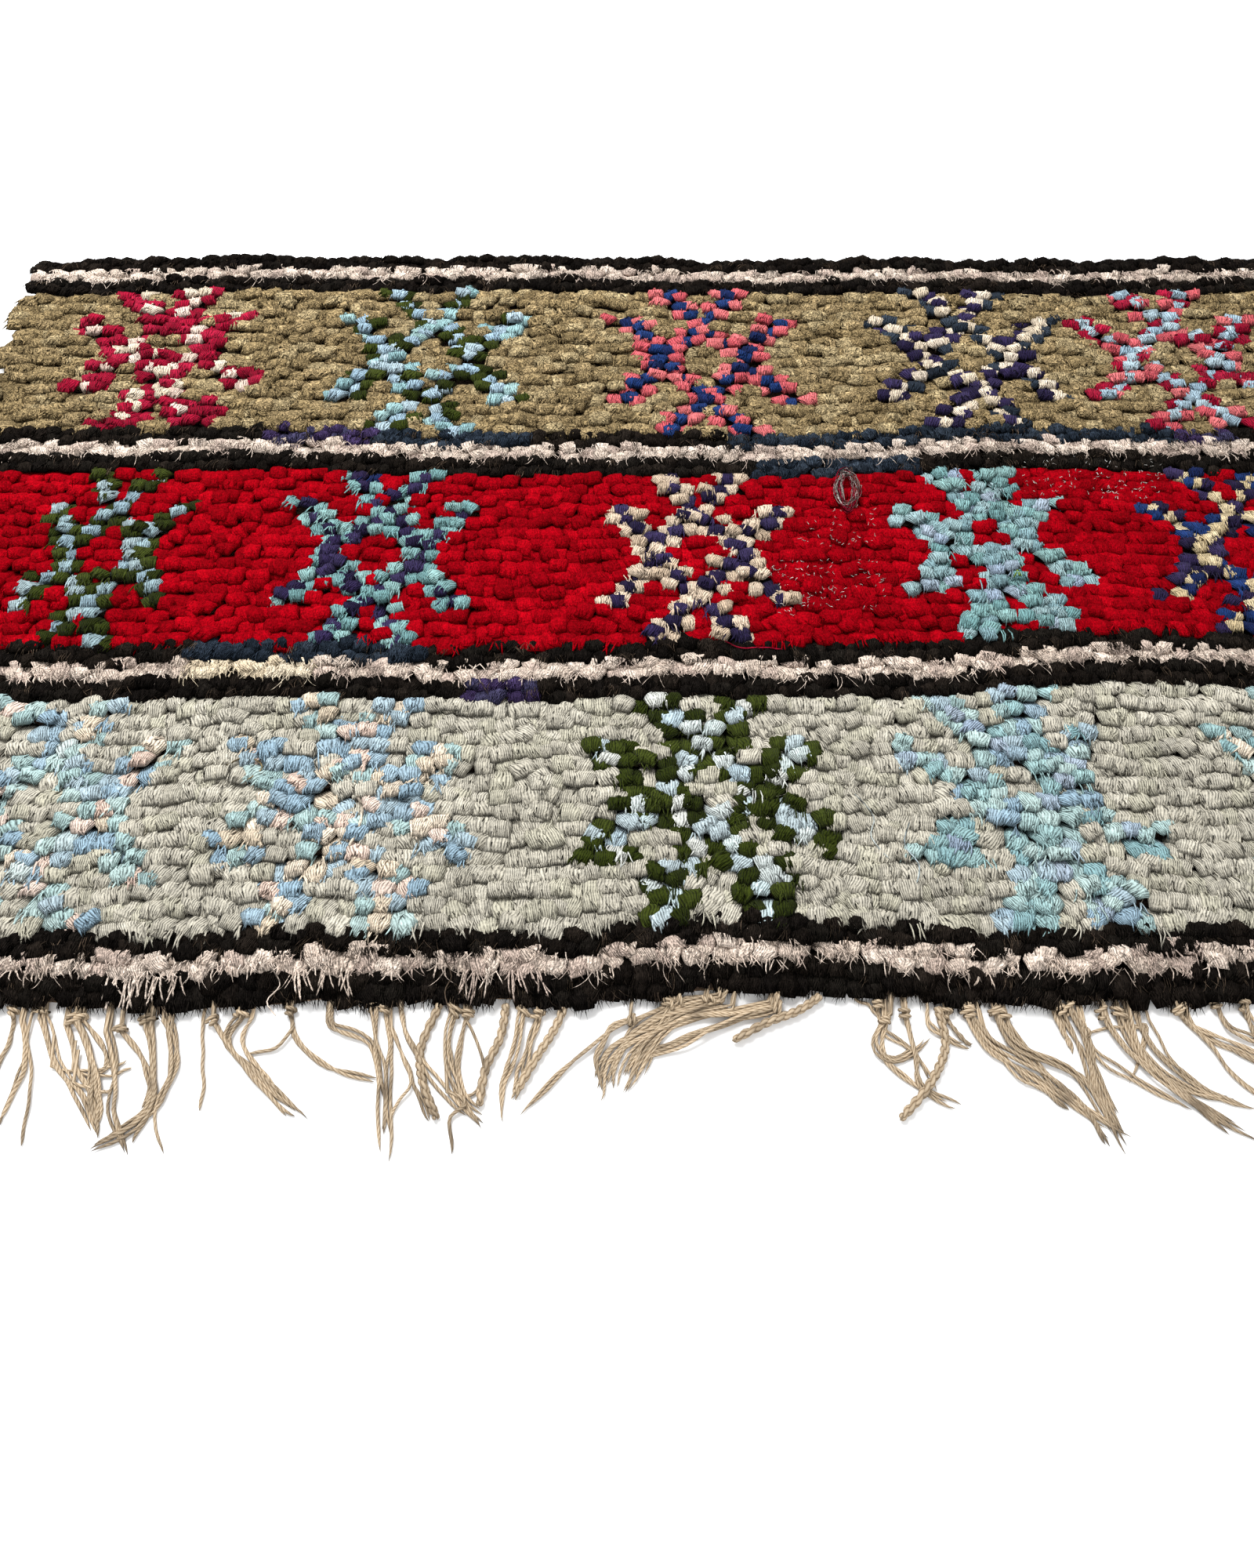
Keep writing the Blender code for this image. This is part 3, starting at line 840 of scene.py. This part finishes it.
def makeYarnMaterial(name):
    spec = yarnFinishes[name]
    yarn, shader = newMaterial(name)
    node, sum2, spread, noise = nodeTools(yarn.node_tree)
    draw = node("ShaderNodeAttribute", attribute_name="tuftDraw").outputs["Fac"]
    solid = node("ShaderNodeTexCoord").outputs["Object"]
    mapped = node("ShaderNodeUVMap", uv_map="strandMap").outputs["UV"]
    split = node("ShaderNodeSeparateXYZ", {"Vector": mapped})
    across, along = split.outputs["X"], split.outputs["Y"]
    # strands wander across the tuft as they run
    wander = sum2("MULTIPLY", noise(95, 0, Vector=solid), spec["wander"])
    number = sum2("MULTIPLY", across, spread(sum2("FRACT", sum2("MULTIPLY", draw, 7.3)), 0.82, 1.30))
    lean = sum2("MULTIPLY", along, spread(draw, -spec["lean"], spec["lean"]))
    shifted = sum2("ADD", sum2("ADD", number, lean), wander)
    line = spread(sum2("SINE", sum2("MULTIPLY", shifted, math.tau)), 0.0, 1.0, -1.0, 1.0)
    line = sum2("POWER", line, 0.45)
    # each strand takes its own tone
    strand = node("ShaderNodeCombineXYZ", {"X": sum2("FLOOR", sum2("ADD", shifted, 0.25)), "Y": draw})
    tone = node("ShaderNodeTexWhiteNoise", {"Vector": strand.outputs["Vector"]}, noise_dimensions="2D")
    # twist: slanting marks along every strand
    slant = sum2("ADD", shifted, sum2("MULTIPLY", along, 9.0))
    twist = spread(sum2("SINE", sum2("MULTIPLY", slant, math.tau)), 0.0, 1.0, -1.0, 1.0)
    # fibres: fine streaks that run with the strand
    streak = node("ShaderNodeCombineXYZ", {
        "X": sum2("MULTIPLY", shifted, spec["grain"]), "Y": sum2("MULTIPLY", along, 8.0),
        "Z": sum2("MULTIPLY", draw, 60.0)})
    fibre = noise(1.0, 1, Vector=streak.outputs["Vector"])
    fade = noise(38, 2, Vector=solid)
    nap = noise(spec["napScale"], 1, Vector=solid)  # what wear has raised between and across the strands
    uneven = noise(260, 0, Vector=solid)  # the painted shade in the grooves is deep in some places and gone in others
    # painted shade: the colour is darkened in the lines between strands
    gap = sum2("MULTIPLY", spread(line, 1.12 - spec["grooveShade"], 0.0), spread(uneven, 0.1, 1.9, 0.32, 0.68))
    speck = 0.20 * spec["nap"]
    shade = sum2("SUBTRACT", 1.12, gap)
    for part in (
        spread(tone.outputs["Value"], 0.84, 1.12),
        spread(fibre, *spec["mottle"], 0.3, 0.7),
        spread(fade, 0.86, 1.14, 0.3, 0.7),
        spread(nap, 1 - speck, 1 + speck, 0.35, 0.65),
        # painted shade: the strands are darkened towards their roots, down in the pile
        spread(along, spec["root"], 1.0, 0.12, 0.50),
        spread(along, 1.0, spec["cutEndShade"], 0.93, 1.0),  # painted shade: the cut ends at the front of each tuft are darkened, which draws the dark lines between rows
    ):
        shade = sum2("MULTIPLY", shade, part)
    color = node("ShaderNodeAttribute", attribute_name="yarnColor").outputs["Color"]
    tint = node("ShaderNodeVectorMath", operation="SCALE")
    feed(tint, {0: color, "Scale": shade})
    height = sum2("ADD", sum2("MULTIPLY", line, spec["ridge"]), sum2("MULTIPLY", twist, spec["twist"]))
    height = sum2("ADD", height, sum2("MULTIPLY", nap, spec["nap"]))
    height = sum2("ADD", height, sum2("MULTIPLY", fibre, spec["fuzz"]))
    bump = node("ShaderNodeBump", {"Strength": 1.0, "Distance": 0.0009, "Height": height})
    feed(shader, {
        "Roughness": 1.0, "Specular IOR Level": 0.02, "Sheen Weight": spec["sheen"], "Sheen Roughness": 0.5,
        "Base Color": tint.outputs["Vector"], "Normal": bump.outputs["Normal"]})
    return yarn


# what lies on the pile: a clump of fluff, glinting lint, and stray threads
# with their routes in the rug's plan
litter = {
    "fluff": {"x": 0.138, "along": 0.418, "halfWide": 0.009, "halfLong": 0.022, "hairs": 90,
              "thick": 0.00028, "shades": ["down", "down", "crimson"]},
    "lint": [
        {"x": (0.075, 0.160), "along": (0.290, 0.345), "count": 120},
        {"x": (0.285, 0.400), "along": (0.405, 0.450), "count": 110},
        {"x": (0.100, 0.160), "along": (0.350, 0.400), "count": 40},
    ],
    "lintLong": (0.0018, 0.0050),
    "lintThick": 0.00026,
    "threads": [
        {"yarn": "straw", "thick": 0.0010,
         "route": [(-0.223, 0.139), (-0.219, 0.128), (-0.221, 0.114), (-0.226, 0.102)]},
        {"yarn": "crimson", "thick": 0.0005,
         "route": [(0.036, 0.264), (0.048, 0.258), (0.064, 0.259), (0.080, 0.257)]},
        {"yarn": "hair", "thick": 0.0004,
         "route": [(-0.158, 0.030), (-0.152, 0.018), (-0.155, 0.008), (-0.150, -0.006)]},
        {"yarn": "frost", "thick": 0.0004,
         "route": [(0.112, 0.140), (0.122, 0.124), (0.118, 0.108), (0.128, 0.092)]},
        {"yarn": "frost", "thick": 0.0004,
         "route": [(0.145, 0.120), (0.139, 0.104), (0.146, 0.090), (0.142, 0.076)]},
        {"yarn": "cream", "thick": 0.0004,
         "route": [(-0.262, 0.022), (-0.256, 0.012), (-0.262, 0.002), (-0.254, -0.008)]},
        {"yarn": "olive", "thick": 0.0005,
         "route": [(-0.318, 0.160), (-0.302, 0.168), (-0.290, 0.160), (-0.300, 0.150)]},
    ],
    "level": 0.0158,
}


def makeLitter():
    draw = random.Random(19)
    shape = bmesh.new()
    layer = shape.loops.layers.uv.new("strandMap")
    shades = []

    def layThread(points, thick, yarn, sides=3):
        # a thread through points given across, along and up
        before = len(shape.verts)
        path = [(*planPoint(x, along), level) for x, along, level in points]
        sweepString(shape, layer, path, [thick] * len(path), sides, 1.0, len(shades))
        color = linear(*draw.choice(yarns[yarn]))
        shades.extend([color] * (len(shape.verts) - before))

    fluff = litter["fluff"]
    for hair in range(fluff["hairs"]):
        # each hair follows a stretch of the clump's long loop
        start = draw.uniform(0, math.tau)
        sweep = draw.uniform(0.8, 2.4)
        wide = fluff["halfWide"] * draw.uniform(0.35, 1.25)
        long = fluff["halfLong"] * draw.uniform(0.6, 1.15)
        points = []
        for step in range(7):
            turn = start + sweep * step / 6
            points.append((
                fluff["x"] + wide * math.cos(turn) + draw.uniform(-0.001, 0.001),
                fluff["along"] + long * math.sin(turn) + draw.uniform(-0.001, 0.001),
                litter["level"] + draw.uniform(0.0, 0.0035),
            ))
        layThread(points, fluff["thick"], draw.choice(fluff["shades"]))
    for patch in litter["lint"]:
        for speck in range(patch["count"]):
            x = draw.uniform(*patch["x"])
            along = draw.uniform(*patch["along"])
            heading = draw.uniform(0, math.tau)
            points = []
            for step in range(4):
                points.append((x, along, litter["level"] + draw.uniform(-0.0012, 0.0006)))
                heading += draw.uniform(-0.9, 0.9)
                stretch = draw.uniform(*litter["lintLong"]) / 3
                x += stretch * math.cos(heading)
                along += stretch * math.sin(heading)
            layThread(points, litter["lintThick"], "white")
    for thread in litter["threads"]:
        route = [(1000 * x, 1000 * along) for x, along in thread["route"]]
        points = []
        for step in range(13):
            x, along = alongRoute(route, step / 12)
            rest = litter["level"] if along > 22 else 0.0162
            points.append((x / 1000, along / 1000, rest + thread["thick"] * draw.uniform(-0.4, 0.6)))
        layThread(points, thread["thick"], thread["yarn"], 5)
    made = asObject(shape, "pileLitter")
    mesh = made.data
    colors = mesh.attributes.new("yarnColor", "FLOAT_COLOR", "POINT")
    colors.data.foreach_set("color", np.array([(*color, 1) for color in shades], np.float32).ravel())
    mesh.attributes.new("tuftDraw", "FLOAT", "POINT")
    addPiece(made, "star_pile", bpy.data.materials["star_pile"])
    print("litter:", triangles(made), "triangles")
    return made


ground = {
    "cellsAcross": 80,
    "cellsAlong": 32,
    "thickness": 0.0026,
    "bottom": 0.0004,
    "threads": (330, 420),  # to the metre, across and along
    "frontEdge": 0.0080,  # the flat-woven end lies just under the first knots' tips
    "bare": {"x": -0.290, "reach": 0.055, "out": 0.0045},  # and where it shows
    "backShow": 0.010,
    "color": (172, 140, 104),
    "dark": (70, 54, 38),
    "shade": (84, 66, 54),
}


def setOrder(parts, middle):
    # an extrusion leaves its parts in another order each run, so they are put in order of place
    inPlace = sorted(parts, key=lambda part: tuple(round(v, 6) for v in middle(part)))
    ranks = {part: number for number, part in enumerate(inPlace)}
    parts.sort(key=ranks.get)


def makeGround():
    # the foundation: a flat-woven cotton cloth, laid on the floor under all the knots
    shape = bmesh.new()
    across, along = ground["cellsAcross"], ground["cellsAlong"]
    bmesh.ops.create_grid(shape, x_segments=across, y_segments=along, size=1.0)
    lifted = bmesh.ops.extrude_face_region(shape, geom=list(shape.faces))
    tops = {item for item in lifted["geom"] if isinstance(item, bmesh.types.BMVert)}
    weaveMap = shape.loops.layers.uv.new("weaveMap")
    low = ground["frontEdge"]
    high = pileLength + ground["backShow"]
    flat = {}
    for vert in shape.verts:
        x = (vert.co.x) * (halfWidth - 0.001)
        run = low + (vert.co.y + 1) / 2 * (high - low)
        flat[vert] = (x, run)
        if vert.co.y < -0.999:
            bare = ground["bare"]
            run -= bare["out"] * math.exp(-((x - bare["x"]) / bare["reach"]) ** 4)
        vert.co = (*planPoint(x, run), ground["thickness"] if vert in tops else ground["bottom"])
    for face in shape.faces:
        face.smooth = False
        for loop in face.loops:
            loop[weaveMap].uv = flat[loop.vert]
    setOrder(shape.verts, lambda vert: vert.co)
    setOrder(shape.faces, lambda face: face.calc_center_median())
    cloth = asObject(shape, "groundCloth")
    addPiece(cloth, "ground_cotton", makeWeaveMaterial())
    return cloth, (2 * halfWidth, high - low)


def makeWeaveMaterial():
    weave, shader = newMaterial("groundCotton")
    node, sum2, spread, _ = nodeTools(weave.node_tree)
    flat = node("ShaderNodeUVMap", uv_map="weaveMap").outputs["UV"]
    threads = []
    for direction, count in zip("XY", ground["threads"]):
        wave = node("ShaderNodeTexWave", {"Scale": count / math.tau, "Distortion": 0.6, "Vector": flat},
                    wave_type="BANDS", bands_direction=direction)
        threads.append(wave.outputs["Fac"])
    over = sum2("MULTIPLY", *threads)
    tone = node("ShaderNodeMix", data_type="RGBA")
    feed(tone, {0: over, 6: (*linear(*ground["dark"]), 1), 7: (*linear(*ground["color"]), 1)})
    # painted shade: the upper side is darkened under the pile, where the knots shade it
    along = node("ShaderNodeSeparateXYZ", {"Vector": flat}).outputs["Y"]
    under = spread(sum2("PINGPONG", along, pileLength), 0.0, 1.0, 0.004, 0.012)
    facing = node("ShaderNodeNewGeometry").outputs["True Normal"]
    upward = node("ShaderNodeSeparateXYZ", {"Vector": facing}).outputs["Z"]
    underPileShadeMask = node("ShaderNodeMath", {0: under, 1: upward}, operation="MULTIPLY", use_clamp=True)
    shadedUnderPile = node("ShaderNodeMix", data_type="RGBA")
    feed(shadedUnderPile, {0: underPileShadeMask.outputs[0], 6: tone.outputs[2], 7: (*linear(*ground["shade"]), 1)})
    bump = node("ShaderNodeBump", {"Strength": 0.8, "Distance": 0.0008, "Height": over})
    feed(shader, {"Roughness": 0.95, "Base Color": shadedUnderPile.outputs[2], "Normal": bump.outputs["Normal"]})
    return weave


# the fringe as it lies: strings in each bundle, less than none for plies twisted into one cord, and its route
# in millimetres across from the middle and out from the front line
bundles = [
    (2, [(-422, -1), (-420, 11), (-422, 25), (-425, 46)]),
    (3, [(-416, 1), (-409, 23), (-409, 41), (-412, 63)]),
    (1, [(-411, 11), (-399, 35), (-397, 58), (-395, 76)]),
    (3, [(-406, -3), (-388, 28), (-371, 46), (-352, 70)]),
    (2, [(-390, 2), (-376, 30), (-360, 48), (-354, 65)]),
    (5, [(-384, 1), (-365, 30), (-360, 50), (-353, 69)]),
    (2, [(-380, 1), (-364, 18), (-357, 31), (-368, 36)]),
    (3, [(-363, 5), (-351, 35), (-348, 55), (-332, 82)]),
    (2, [(-355, 7), (-339, 23), (-329, 41), (-329, 55)]),
    (5, [(-339, 2), (-327, 35), (-328, 58), (-353, 75)]),
    (4, [(-329, 1), (-317, 25), (-321, 49), (-342, 70)]),
    (1, [(-326, 7), (-319, 35), (-322, 57), (-313, 81)]),
    (1, [(-323, 11), (-319, 40), (-326, 61), (-332, 74)]),
    (1, [(-306, 2), (-300, 21), (-297, 41), (-296, 58)]),
    (3, [(-300, 2), (-283, 24), (-259, 47), (-240, 63)]),
    (4, [(-280, 2), (-287, 18), (-262, 41), (-235, 62)]),
    (2, [(-274, 2), (-277, 18), (-263, 37), (-248, 52)]),
    (1, [(-255, -3), (-249, 11), (-259, 22), (-274, 26)]),
    (2, [(-252, -1), (-245, 17), (-223, 35), (-195, 42)]),
    (3, [(-227, -3), (-224, 11), (-199, 21), (-189, 52)]),
    (4, [(-200, -2), (-195, 23), (-188, 50), (-186, 79)]),
    (2, [(-194, 0), (-188, 25), (-186, 48), (-182, 85)]),
    (2, [(-191, 7), (-178, 32), (-170, 47), (-160, 65)]),
    (1, [(-191, 7), (-174, 42), (-179, 55), (-184, 66)]),
    (-6, [(-160, -3), (-169, 23), (-166, 43), (-156, 63)]),
    (3, [(-184, -2), (-176, 21), (-152, 48), (-130, 66)]),
    (4, [(-150, 0), (-153, 23), (-145, 46), (-130, 65)]),
    (3, [(-141, 0), (-147, 23), (-144, 46), (-132, 61)]),
    (-5, [(-119, -3), (-121, 15), (-129, 35), (-131, 55)]),
    (4, [(-108, -2), (-111, 21), (-118, 41), (-117, 65)]),
    (3, [(-98, -1), (-103, 21), (-108, 39), (-112, 52)]), (-5, [(-81, -8), (-88, 10), (-99, 28), (-110, 48)]),
    (2, [(-16, -1), (-52, 12), (-85, 37), (-109, 64)]), (3, [(52, -1), (-2, 8), (-49, 25), (-59, 50)]),
    (3, [(21, -3), (-21, 6), (-47, 23), (-55, 47)]), (3, [(8, -2), (-18, 9), (-40, 25), (-49, 47)]),
    (3, [(-11, -4), (-26, 11), (-37, 28), (-43, 45)]), (2, [(51, 2), (21, 13), (-9, 21), (-33, 28)]),
    (-7, [(75, -3), (61, 6), (42, 13), (21, 23)]), (1, [(97, -3), (104, 1), (110, 6), (117, 10)]),
    (3, [(121, 2), (106, 23), (118, 33), (140, 17)]), (3, [(127, 2), (130, 28), (132, 47), (154, 59)]),
    (2, [(115, 7), (110, 30), (124, 44), (140, 55)]), (-6, [(148, 1), (149, 23), (137, 45), (117, 66)]),
    (2, [(153, 2), (155, 10), (160, 17), (166, 21)]), (4, [(166, 2), (176, 25), (207, 44), (245, 70)]),
    (2, [(172, 7), (190, 37), (207, 47), (218, 58)]), (5, [(183, -1), (191, 21), (227, 39), (245, 77)]),
    (2, [(187, 2), (209, 40), (226, 55), (235, 75)]), (3, [(218, -5), (221, 6), (223, 15), (226, 24)]),
    (4, [(228, -5), (234, 15), (236, 40), (245, 63)]), (2, [(234, 13), (261, 8), (276, 11), (248, 52)]),
    (2, [(235, 2), (240, 25), (260, 41), (288, 57)]), (4, [(249, -1), (259, 25), (286, 50), (322, 75)]),
    (3, [(258, -1), (268, 28), (293, 48), (323, 55)]), (3, [(269, -1), (276, 25), (300, 48), (332, 61)]),
    (1, [(275, 2), (281, 24), (289, 38), (299, 49)]), (5, [(296, -2), (305, 14), (330, 27), (358, 41)]),
    (2, [(299, 2), (312, 23), (322, 44), (340, 55)]), (3, [(320, -3), (324, 12), (341, 22), (366, 31)]),
    (3, [(338, -2), (340, 12), (342, 30), (343, 53)]),
    (1, [(-147, 2), (-132, 27), (-133, 44), (-144, 51)]),
    (1, [(-153, 48), (-140, 55), (-148, 63), (-146, 83)]),
    (1, [(-393, 30), (-374, 33), (-358, 30), (-346, 27)]),
    (1, [(-379, 34), (-364, 35), (-350, 35), (-342, 31)]),
    (1, [(-376, 40), (-364, 43), (-354, 47), (-350, 42)]),
    (5, [(17, -4), (-10, -1), (-40, 14), (-55, 42)]), (5, [(53, 1), (23, 6), (-16, 11), (-40, 44)]),
    (4, [(52, 3), (20, 12), (-10, 22), (-33, 28)]), (4, [(-18, -4), (-22, 12), (-34, 25), (-45, 47)]),
    (3, [(25, 2), (-6, 7), (-52, 21), (-62, 43)]), (2, [(-40, 7), (-54, 11), (-63, 28), (-58, 45)]),
    (2, [(111, -2), (113, 16), (131, 28), (141, 53)]), (2, [(143, -1), (142, 11), (153, 18), (164, 22)]),
    (3, [(166, -1), (179, 21), (209, 39), (237, 70)]), (3, [(222, -3), (232, 21), (235, 48), (246, 70)]),
    (3, [(265, -1), (268, 25), (289, 52), (308, 70)]),
]
fringe = {
    "string": 0.00104,  # half the thickness of one plied string
    "sides": 5,
    "steps": 14,
    "lane": 0.0020,  # between neighbouring strings of a bundle
    "root": 0.018,  # how far back under the pile each string starts
    "viewLeft": -0.440,
    "viewRight": 0.362,
    "pitch": 0.0235,
    "plyRadius": 0.00120,
    "plyThick": 0.00175,
    "plyTurn": 0.0115,  # length of one turn of a twisted cord
    "stringTurn": 0.004,  # and of the plies in one string
}


def moreBundles():
    # the fringe goes on past both ends of the table by a plain rule
    made = []
    stretches = ((-halfWidth + 0.012, fringe["viewLeft"]), (fringe["viewRight"], halfWidth - 0.012))
    for low, high in stretches:
        count = int((high - low) / fringe["pitch"])
        for index in range(count):
            x = (low + (index + 0.5) * fringe["pitch"]) * 1000
            lean = 14 * math.sin(2.3 * index + low * 9)
            reach = 68 + 9 * math.sin(1.7 * index + 1)
            route = [(x, 1), (x + 0.15 * lean, 24), (x + 0.6 * lean, 46), (x + lean, reach)]
            made.append((3 + index % 3, route))
    return made


def alongRoute(route, share):
    # a smooth line through the route's four points, in millimetres
    place = min(max(share, 0.0), 0.9999) * 3
    low = int(place)
    part = place - low
    points = [route[max(low - 1, 0)], route[low], route[low + 1], route[min(low + 2, 3)]]
    result = []
    for axis in range(2):
        a, b, c, d = (point[axis] for point in points)
        result.append(0.5 * (2 * b + (c - a) * part + (2 * a - 5 * b + 4 * c - d) * part ** 2
                             + (3 * b - a - 3 * c + d) * part ** 3))
    if share > 1:
        over = (share - 1) * 3
        result = [result[axis] + over * (route[3][axis] - route[2][axis]) for axis in range(2)]
    return result


def onFloor(across, out):
    x, y = planPoint(across / 1000, 0)
    return x, y - out / 1000


def sweepString(shape, layer, path, radii, sides, turns, number):
    # a closed tube along a path of points, with its own radius at each and a point at the end
    rings = []
    for step in range(len(path) - 1):
        run = unit(np.array(path[step + 1]) - np.array(path[max(step - 1, 0)]))
        side = unit(np.cross(run, (0.0, 0.0, 1.0)))
        up = np.cross(side, run)
        ring = []
        for corner in range(sides):
            angle = math.tau * corner / sides
            out = math.cos(angle) * side + math.sin(angle) * up
            ring.append(tuple(np.array(path[step]) + radii[step] * out))
        rings.append(ring)
    shares = [turns * step / (len(path) - 1) for step in range(len(path))]
    sweepTube(shape, layer, rings, shares, tuple(path[-1]), float(number), 0.999)


def makeFringe():
    draw = random.Random(5)
    shape = bmesh.new()
    layer = shape.loops.layers.uv.new("strandMap")
    count = 0
    for number, (strings, route) in enumerate(bundles + moreBundles()):
        length = sum(math.dist(route[i], route[i + 1]) for i in range(3)) / 1000
        bundleLift = (number * 7 % 3) * 0.0008
        if strings < 0:
            plies = 2
            steps = int(length / fringe["plyTurn"] * 9)
            for ply in range(plies):
                path = []
                radii = []
                for step in range(steps + 1):
                    share = -0.06 + 1.08 * step / steps
                    x, y = onFloor(*alongRoute(route, share))
                    ahead = onFloor(*alongRoute(route, share + 0.02))
                    run = unit((ahead[0] - x, ahead[1] - y))
                    turn = math.tau * (share * length / fringe["plyTurn"] + ply / plies)
                    out = fringe["plyRadius"] * math.cos(turn)
                    path.append((x + run[1] * out, y - run[0] * out,
                                 0.0026 + bundleLift + fringe["plyRadius"] * math.sin(turn)))
                    radii.append(fringe["plyThick"] * (1 if share < 0.93 else 0.7))
                sweepString(shape, layer, path, radii, 6, length / fringe["stringTurn"], count)
                count += 1
            continue
        rolling = draw.uniform(0.4, 1.5) * math.pi * draw.choice((-1, 1))
        rollStart = draw.uniform(-0.5, 0.5)
        for index in range(strings):
            lane = index - (strings - 1) / 2
            endShare = draw.uniform(0.86, 1.05) if strings > 1 else 1.0
            bow = draw.uniform(-1.6, 1.6)
            flare = draw.uniform(0.4, 1.5)
            phase = draw.uniform(0, math.tau)
            thick = fringe["string"] * draw.uniform(0.85, 1.15)
            lift = (index % 2) * 0.0017 if strings > 2 else 0.0
            path = []
            radii = []
            for step in range(fringe["steps"] + 1):
                part = step / fringe["steps"]
                share = part * endShare
                across, out = alongRoute(route, share)
                nextAcross, nextOut = alongRoute(route, share + 0.03)
                run = unit((nextAcross - across, nextOut - out))
                crowd = 0.8 if strings > 4 else 1.0
                gap = fringe["lane"] * 1000 * (0.55 + 0.45 * flare * part) * crowd
                roll = rollStart + rolling * part  # the bundle turns about itself, so its strings cross
                drift = lane * gap * math.cos(roll) + 0.8 * math.sin(phase + 8 * part)
                drift += 0.4 * math.sin(2 * phase + 19 * part)
                drift += bow * math.sin(math.pi * part)
                x, y = onFloor(across - run[1] * drift, out + run[0] * drift)
                if step == 0:
                    y += fringe["root"]
                height = thick + lift * (1 - part) + bundleLift * math.sin(math.pi * min(part * 1.3, 1))
                hump = math.sin(math.pi * min(part * 1.2, 1))
                height += 0.00055 * (abs(lane) + lane * math.sin(roll)) * hump
                if step < 2:
                    height += 0.0012 * (2 - step)
                path.append((x, y, height + 0.0003))
                taper = 1.0 if part < 0.86 else 1.0 - 0.75 * (part - 0.86) / 0.14
                radii.append(thick * taper)
            sweepString(shape, layer, path, radii, fringe["sides"], length / fringe["stringTurn"], count)
            count += 1
        if strings > 1 and number % 3 != 1:
            # a string is wound round the bundle's root
            wind(shape, layer, route, 0.01 + 0.06 * draw.random(), 0.0006 * strings + 0.0014, number, draw)
    made = asObject(shape, "fringeStrings")
    keepOffFloor(made.data)
    addPiece(made, "warp_cotton", makeStringMaterial())
    print("fringe:", count, "strings,", triangles(made), "triangles")
    return made


def wind(shape, layer, route, share, radius, number, draw):
    x, y = onFloor(*alongRoute(route, share))
    ahead = onFloor(*alongRoute(route, share + 0.05))
    run = unit((ahead[0] - x, ahead[1] - y))
    path = []
    turns = draw.uniform(1.1, 1.9)
    reach = draw.uniform(0.0030, 0.0062)
    skew = draw.uniform(-0.5, 0.5)
    for step in range(17):
        part = step / 16
        turn = math.tau * turns * part - 0.4
        slip = (part - 0.5) * reach + skew * radius * math.cos(turn)
        out = radius * (1 + 0.25 * math.sin(5 * part + number)) * math.cos(turn)
        path.append((x + run[0] * slip + run[1] * out, y + run[1] * slip - run[0] * out,
                     0.0036 + 0.0026 * math.sin(turn)))
    sweepString(shape, layer, path, [fringe["string"] * 1.2] * len(path), fringe["sides"], 8.0, number)


strings = {
    "color": (195, 176, 150),
    "shadow": (122, 99, 72),
    "dirt": (96, 84, 70),
}


def makeStringMaterial():
    cotton, shader = newMaterial("warpCotton")
    node, sum2, spread, noise = nodeTools(cotton.node_tree)
    solid = node("ShaderNodeTexCoord").outputs["Object"]
    mapped = node("ShaderNodeUVMap", uv_map="strandMap").outputs["UV"]
    split = node("ShaderNodeSeparateXYZ", {"Vector": mapped})
    # three plies slanting round the string
    slant = sum2("MULTIPLY_ADD", split.outputs["X"], 3.0, split.outputs["Y"])
    ply = sum2("SINE", sum2("MULTIPLY", slant, math.tau))
    fibre = noise(1400, 3, Vector=solid)
    stain = noise(42, 4, Vector=solid)
    # painted shade: the grooves between the plies take the shadow colour
    grooveShade = sum2("POWER", spread(ply, 0.0, 1.0, -1.0, 1.0), 0.35)
    tone = node("ShaderNodeMix", data_type="RGBA")
    feed(tone, {0: grooveShade, 6: (*linear(*strings["shadow"]), 1), 7: (*linear(*strings["color"]), 1)})
    # each string takes its own shade
    own = node("ShaderNodeTexWhiteNoise", noise_dimensions="1D")
    feed(own, {"W": sum2("FLOOR", split.outputs["X"])})
    ownShade = spread(sum2("MULTIPLY_ADD", fibre, 0.7, own.outputs["Value"]), 0.48, 1.12, 0.0, 1.7)
    shaded = node("ShaderNodeVectorMath", operation="SCALE")
    feed(shaded, {0: tone.outputs[2], "Scale": ownShade})
    # the tips are the dirtiest
    place = node("ShaderNodeSeparateXYZ", {"Vector": solid})
    outward = spread(place.outputs["Y"], 0.0, 0.16, frontY - 0.040, frontY - 0.080)
    soiled = spread(sum2("ADD", stain, outward), 0.0, 0.8, 0.56, 0.76)
    dirty = node("ShaderNodeMix", data_type="RGBA")
    feed(dirty, {0: soiled, 6: shaded.outputs["Vector"], 7: (*linear(*strings["dirt"]), 1)})
    height = sum2("MULTIPLY_ADD", fibre, 0.6, grooveShade)
    bump = node("ShaderNodeBump", {"Strength": 0.7, "Distance": 0.0004, "Height": height})
    feed(shader, {
        "Roughness": 0.95, "Specular IOR Level": 0.1,
        "Base Color": dirty.outputs[2], "Normal": bump.outputs["Normal"]})
    return cotton


makeCamera()
makeStudio()
print("camera and studio ready")
pile = makePile()
pile.append(makeLitter())
print("pile ready")
cloth, clothSize = makeGround()
print("ground ready")
fringeStrings = makeFringe()
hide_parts("pile_cloth")
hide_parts("warp_fringe")
